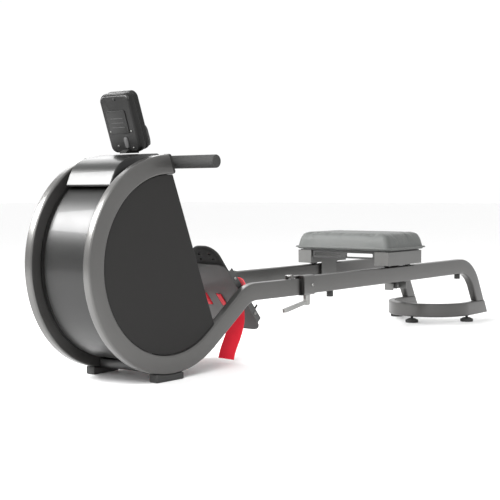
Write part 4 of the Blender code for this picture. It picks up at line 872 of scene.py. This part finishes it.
def console():
    """The case, its pod, display window, keys, and the battery door on the back."""
    height = 0.158
    outline = rounded(0.106, height, 0.019, 10) + np.array([0, height / 2 - 0.008])
    rear = slab("console_rear_shell", outline, 0.026,
                lambda p: chamfered(p + np.array([0, 0, CASE_MIDDLE - 0.007])), 0.0075, 8)
    front = slab("console_front_shell", outline, 0.0132,
                 lambda p: on_console(p + np.array([0, 0, CASE_FRONT - 0.0066])),
                 0.0035, 6)
    inset = rounded(0.1035, height - 0.0025, 0.018, 10) + np.array([0, height / 2 - 0.008])
    core = slab("console_core", inset, 0.030,
                lambda p: on_console(p + np.array([0, 0, CASE_MIDDLE + 0.001])), 0.001)
    pod_side = softened([(0.022, -0.004), (0.0460, -0.004), (0.0500, 0.010), (0.0490, 0.046), (0.033, 0.060),
                         (0.022, 0.061)], 0.010, 9)
    across = np.linspace(-1, 1, 25)
    ease = np.sqrt(np.clip(1 - np.abs(across) ** 8, 0.0, 1))
    out = 0.022 + (pod_side[None, :, 0] - 0.022) * ease[:, None]
    up = 0.027 + (pod_side[None, :, 1] - 0.027) * (0.9 + 0.1 * ease[:, None])
    wide = np.broadcast_to(across[:, None] * 0.046, out.shape)
    pod = surface("console_pod", on_console(np.stack([wide, up, out], -1)), across=True, caps=True)
    fit(join("console_shell", [rear, front, core, pod]), "console", "case_plastic", ("console_case",))
    console_plate("console_display", 0.070, 0.058, 0.006, (0, 0.108),
                  CASE_FRONT + 0.0003, 0.0016, "console_window")
    for i in range(3):
        console_plate("console_key_%d" % i, 0.017, 0.007, 0.003,
                      ((i - 1) * 0.022, 0.069), CASE_FRONT + 0.0007,
                      0.0022, "nylon", 0.0008)
    console_plate("battery_door", 0.066, 0.062, 0.005, (0.004, 0.076),
                  CASE_BACK - 0.0001, 0.0012, "case_plastic")
    for i in range(3):
        console_plate("door_rib_%d" % i, 0.044, 0.0018, 0.0008,
                      (0.004, 0.062 + i * 0.012), CASE_BACK - 0.0009,
                      0.0010, "nylon", 0.0003)
    console_plate("back_rib", 0.013, 0.030, 0.006, (-0.010, 0.020),
                  CASE_BACK - 0.0006, 0.0050, "grey_plastic",
                  0.0022)
    away = (-math.cos(LEAN), 0, -math.sin(LEAN))
    for number, (y, z) in enumerate(((0.037, 0.051), (-0.036, 0.051), (-0.030, 0.006), (0.022, 0.012))):
        centre = on_console(np.array([y, z, CASE_BACK - 0.0001]))
        screw("console_screw_%d" % number, centre, away, 0.0026, "console")
    hole = on_console(np.array([0, 0.137, CASE_BACK + 0.0026]))
    screw("speaker_hole", hole, away, 0.0030, "console", "rubber")


console()


# ---------------------------------------------------------------- footrest

SLOPE = np.array([0.3225, 0, 0.1875])
TILT = math.radians(49)
FOOT_Y = 0.057
PLATE_TOP = 0.0113


def on_slope(points):
    """(down the slope, sideways, out) turned by the footrest's tilt and set on it."""
    down, side, out = points[..., 0], points[..., 1], points[..., 2]
    return np.stack([SLOPE[0] + down * math.cos(TILT) + out * math.sin(TILT), side,
                     SLOPE[2] - down * math.sin(TILT) + out * math.cos(TILT)], -1)


def cut(obj, cutters):
    """Cut pieces out of one mesh and keep the result as its own mesh."""
    for cutter in cutters:
        change = obj.modifiers.new("Cut", 'BOOLEAN')
        change.object = cutter
        change.solver = 'EXACT'
    bpy.context.view_layer.update()
    graph = bpy.context.evaluated_depsgraph_get()
    mesh = bpy.data.meshes.new_from_object(obj.evaluated_get(graph))
    obj.modifiers.clear()
    obj.data = mesh
    mesh.shade_smooth()
    mesh.set_sharp_from_angle(angle=math.radians(35))
    for cutter in cutters:
        bpy.data.objects.remove(cutter, do_unlink=True)
    return obj


def foot_plate(label, side):
    """The sole plate: a rounded slab with vent holes at the toe, strap slots and grip bars."""
    centre = np.array([-0.049, side * FOOT_Y])
    outline = rounded(0.292, 0.096, 0.040, 12) + centre
    middle = np.array([0, 0, 0.0073])
    plate = slab(label + "_sole", outline, 0.008, lambda p: on_slope(p + middle), 0.0022, 4)
    cutters = []
    for down, across in ((-0.168, -0.018), (-0.168, 0.018), (-0.148, -0.022), (-0.148, 0.022)):
        hole = rounded(0.008, 0.012, 0.0035, 5) + np.array([down, side * FOOT_Y + across])
        cutters.append(slab("hole", hole, 0.03, lambda p: on_slope(p + middle), 0.0001, 1))
    for y in (0.020, 0.096):
        hole = rounded(0.049, 0.008, 0.003, 4) + np.array([0.010, side * y])
        cutters.append(slab("hole", hole, 0.03, lambda p: on_slope(p + middle), 0.0001, 1))
    cut(plate, cutters)
    fit(plate, "frame", "black_matt", (label + "_foot_plate",))
    for i in range(9):
        bar = (rounded(0.0045, 0.058 - 0.02 * (i == 0), 0.002, 4)
               + np.array([-0.126 + 0.012 * i, side * FOOT_Y]))
        lift = np.array([0, 0, PLATE_TOP + 0.0004])
        piece = slab("%s_grip_bar_%d" % (label, i), bar, 0.0016, lambda p: on_slope(p + lift), 0.0006)
        fit(piece, "frame", "rubber")


def ribbon(name, centre, wide, width, thickness):
    """Webbing along a line in space: each section is a thin rounded strip spanned by two directions.

    wide gives the way the strip's width points at each row, and its thickness points along the
    cross product of the run and the width.
    """
    section = rounded(thickness, width, thickness * 0.45, 4)
    way = tangents(centre)
    wide = wide - (wide * way).sum(-1, keepdims=True) * way
    wide = wide / np.linalg.norm(wide, axis=1, keepdims=True)
    thick = np.cross(way, wide)
    points = (centre[:, None] + thick[:, None] * section[None, :, :1] + wide[:, None] * section[None, :, 1:])
    return surface(name, points, across=True, caps=True, uv=True)


def heel_cup(label, side):
    """The cup's base, its wall round the heel, a stem and a knob turned about the slope's line."""
    middle = np.array([0.068, side * FOOT_Y])
    radius = 0.0358
    base = middle + np.concatenate(
        [arc((0, 0), radius, -90, 90, 30), [[-0.0298, radius], [-0.0298, -radius]]])
    lift = np.array([0, 0, PLATE_TOP + 0.0024])
    plate = slab(label + "_base", base, 0.0038, lambda p: on_slope(p + lift), 0.0010)
    wall = middle + np.concatenate(
        [arc((0, 0), radius, -62, 62, 34), arc((0, 0), radius - 0.0048, 62, -62, 34)])
    high = np.array([0, 0, PLATE_TOP + 0.0230])
    rim = slab(label + "_wall", wall, 0.0448, lambda p: on_slope(p + high), 0.0014)
    profile = np.array(softened([(0.0, -0.004), (0.006, -0.004), (0.006, 0.006),
                                 (0.0145, 0.006), (0.0155, 0.024),
                                 (0.0, 0.026)], 0.004, 6))
    angle = np.linspace(0, math.tau, 40, endpoint=False)
    lobes = 1 + 0.04 * np.cos(5 * angle) * np.clip((profile[:, :1] - 0.006) / 0.006, 0, 1)
    ring = profile[:, :1] * lobes
    points = np.stack([np.broadcast_to(profile[:, 1:], ring.shape) + 0.1045,
                       ring * np.cos(angle) + side * FOOT_Y,
                       ring * np.sin(angle) + 0.0386], -1)
    knob = surface(label + "_knob", on_slope(points), across=True, caps=True)
    fit(join(label + "_heel_shell", [plate, rim, knob]), label + "_heel", "black_matt",
        (label + "_heel_cup",))


def foot_strap(label, side):
    """The strap runs under the platform, up a slot, over the foot as half an ellipse, down the
    outer slot and out to a loose end, whose width turns from the slope's line to level."""
    inner, outer = 0.019, 0.097
    middle = (inner + outer) / 2
    half = (outer - inner) / 2
    below = -0.0017
    flat_run = np.stack([np.linspace(inner + 0.018, inner + 0.004, 12), np.full(12, below)], -1)
    turn = arc((inner + 0.004, below + 0.004), 0.004, 270, 180, 7)[1:]
    arch = np.radians(np.linspace(180, 0, 48))
    over = np.stack([middle + half * np.cos(arch), 0.030 + 0.0385 * np.sin(arch)], -1)
    rise = np.stack([np.full(8, inner), np.linspace(turn[-1, 1], 0.030, 10)[1:-1]], -1)
    down = np.stack([np.full(8, outer), np.linspace(0.030, 0.002, 9)[1:]], -1)
    line = np.concatenate([flat_run, turn, rise, over, down])
    tight = on_slope(np.stack([np.full(len(line), 0.010), side * line[:, 0], line[:, 1]], -1))
    slot = tight[-1]
    end = np.array([0.290, side * 0.074, 0.016])
    t = np.linspace(0, 1, 40)[1:, None]
    loose = slot + (end - slot) * t
    loose[:, 1] += side * 0.012 * (np.sin(np.pi * t) ** 2)[:, 0]
    loose[:, 0] -= 0.010 * np.sin(np.pi * t[:, 0])
    centre = np.concatenate([tight, loose])
    along_slope = np.array([math.cos(TILT), 0, -math.sin(TILT)])
    level = np.array([0.66, side * 0.75, -0.10])
    ease = np.clip(t / 0.45, 0, 1)
    ease = ease * ease * (3 - 2 * ease)
    wide = np.concatenate([np.repeat(along_slope[None], len(tight), 0),
                           along_slope * (1 - ease) + level * ease])
    strap = ribbon(label + "_strap", centre, wide, 0.045, 0.002)
    fit(strap, "frame", "red_webbing", (label + "_foot_strap",))


fit(refined("footrest_platform", 0), "frame", "black_steel", ("footrest_platform",))
for label, side in SIDES:
    foot_plate(label, side)
    heel_cup(label, side)
    foot_strap(label, side)
    for down in (-0.070, 0.070):
        place = on_slope(np.array([down, side * 0.1123, 0.010]))
        screw("%s_flange_screw_%d" % (label, int(down * 1000) + 70), place, (0, side, 0), 0.0045, "frame")


# ---------------------------------------------------------------- seat pad

SEAT = np.array([1.129, 0, 0.2915])
PAD_LENGTH = 0.245
PAD_WIDTH = 0.366


def pad_form(shrink):
    """The pad's closed form: a rounded outline drawn in and up along a side, then over a crown."""
    outline = rounded(1, PAD_WIDTH / PAD_LENGTH, 0.075, 14) * PAD_LENGTH
    profile = softened([(0.90, 0.0005), (1.036, 0.0015), (1.042, 0.011), (1.005, 0.036), (0.955, 0.0505),
                        (0.82, 0.0540)], 0.014, 8)
    crown = np.linspace(0.78, 0.02, 16)
    top = np.stack([crown, 0.0525 + 0.0035 * (1 - (crown / 0.8) ** 2)], -1)
    profile = np.concatenate([[[0.02, 0.0005], [0.4, 0.0005]], profile, top])
    flat = outline[None] * profile[:, None, :1] * (1 - shrink)
    z = np.broadcast_to(profile[:, None, 1:], flat.shape[:2] + (1,))
    return np.concatenate([flat, z], -1) + SEAT


def swell(obj, pressure, reach):
    """Puff a pad up by cloth pressure, keep each point within reach, and leave its underside flat."""
    remesh = obj.modifiers.new("Even", 'REMESH')
    remesh.mode = 'VOXEL'
    remesh.voxel_size = 0.005
    bpy.context.view_layer.update()
    graph = bpy.context.evaluated_depsgraph_get()
    obj.data = bpy.data.meshes.new_from_object(obj.evaluated_get(graph))
    obj.modifiers.clear()
    count = len(obj.data.vertices)
    before = np.empty(count * 3)
    obj.data.vertices.foreach_get("co", before)
    before = before.reshape(-1, 3)
    cloth = obj.modifiers.new("Cloth", 'CLOTH')
    cloth.settings.quality = 5
    cloth.settings.use_pressure = True
    cloth.settings.uniform_pressure_force = pressure
    cloth.settings.effector_weights.gravity = 0
    cloth.point_cache.frame_start = 1
    cloth.point_cache.frame_end = 20
    scene = bpy.context.scene
    for number in range(1, 21):
        scene.frame_set(number)
    graph = bpy.context.evaluated_depsgraph_get()
    moved = np.empty(count * 3)
    obj.evaluated_get(graph).data.vertices.foreach_get("co", moved)
    obj.modifiers.clear()
    scene.frame_set(1)
    step = moved.reshape(-1, 3) - before
    far = np.linalg.norm(step, axis=1, keepdims=True)
    step = step * np.minimum(1, reach / np.maximum(far, 1e-9))
    floor = SEAT[2] + 0.0005
    step *= np.clip((before[:, 2:] - floor) / 0.010, 0, 1)
    result = before + step
    result[:, 2] = np.maximum(result[:, 2], floor)
    obj.data.vertices.foreach_set("co", result.ravel())
    obj.data.shade_smooth()


def piping(name, size, height, radius):
    """A cord sewn round the pad: a small circle carried round the pad's outline."""
    outline = rounded(1, PAD_WIDTH / PAD_LENGTH, 0.075, 14) * PAD_LENGTH * size
    section = np.stack([radius * np.cos(np.linspace(0, math.tau, 12, endpoint=False)),
                        radius * np.sin(np.linspace(0, math.tau, 12, endpoint=False))], -1)
    around = np.concatenate([outline[-1:], outline, outline[:1]])
    way = tangents(around)[1:-1]
    normal = np.stack([-way[:, 1], way[:, 0]], -1)
    flat = outline[:, None] + normal[:, None] * section[None, :, :1]
    z = np.broadcast_to(section[None, :, 1:] + height, flat.shape[:2] + (1,))
    cord = surface(name, np.concatenate([flat, z], -1) + SEAT, across=True, along=True)
    return fit(cord, "seat", "vinyl")


def seat_pad():
    """The upholstered pad with its welt."""
    pad = surface("seat_cushion", pad_form(0.012), across=True, caps=True)
    swell(pad, 4.0, 0.006)
    smooth = pad.modifiers.new("Smooth", 'SUBSURF')
    smooth.levels = 1
    smooth.render_levels = 1
    fit(pad, "seat", "vinyl", ("seat_pad",))
    piping("lower_welt", 1.038, 0.0085, 0.0026)


seat_pad()
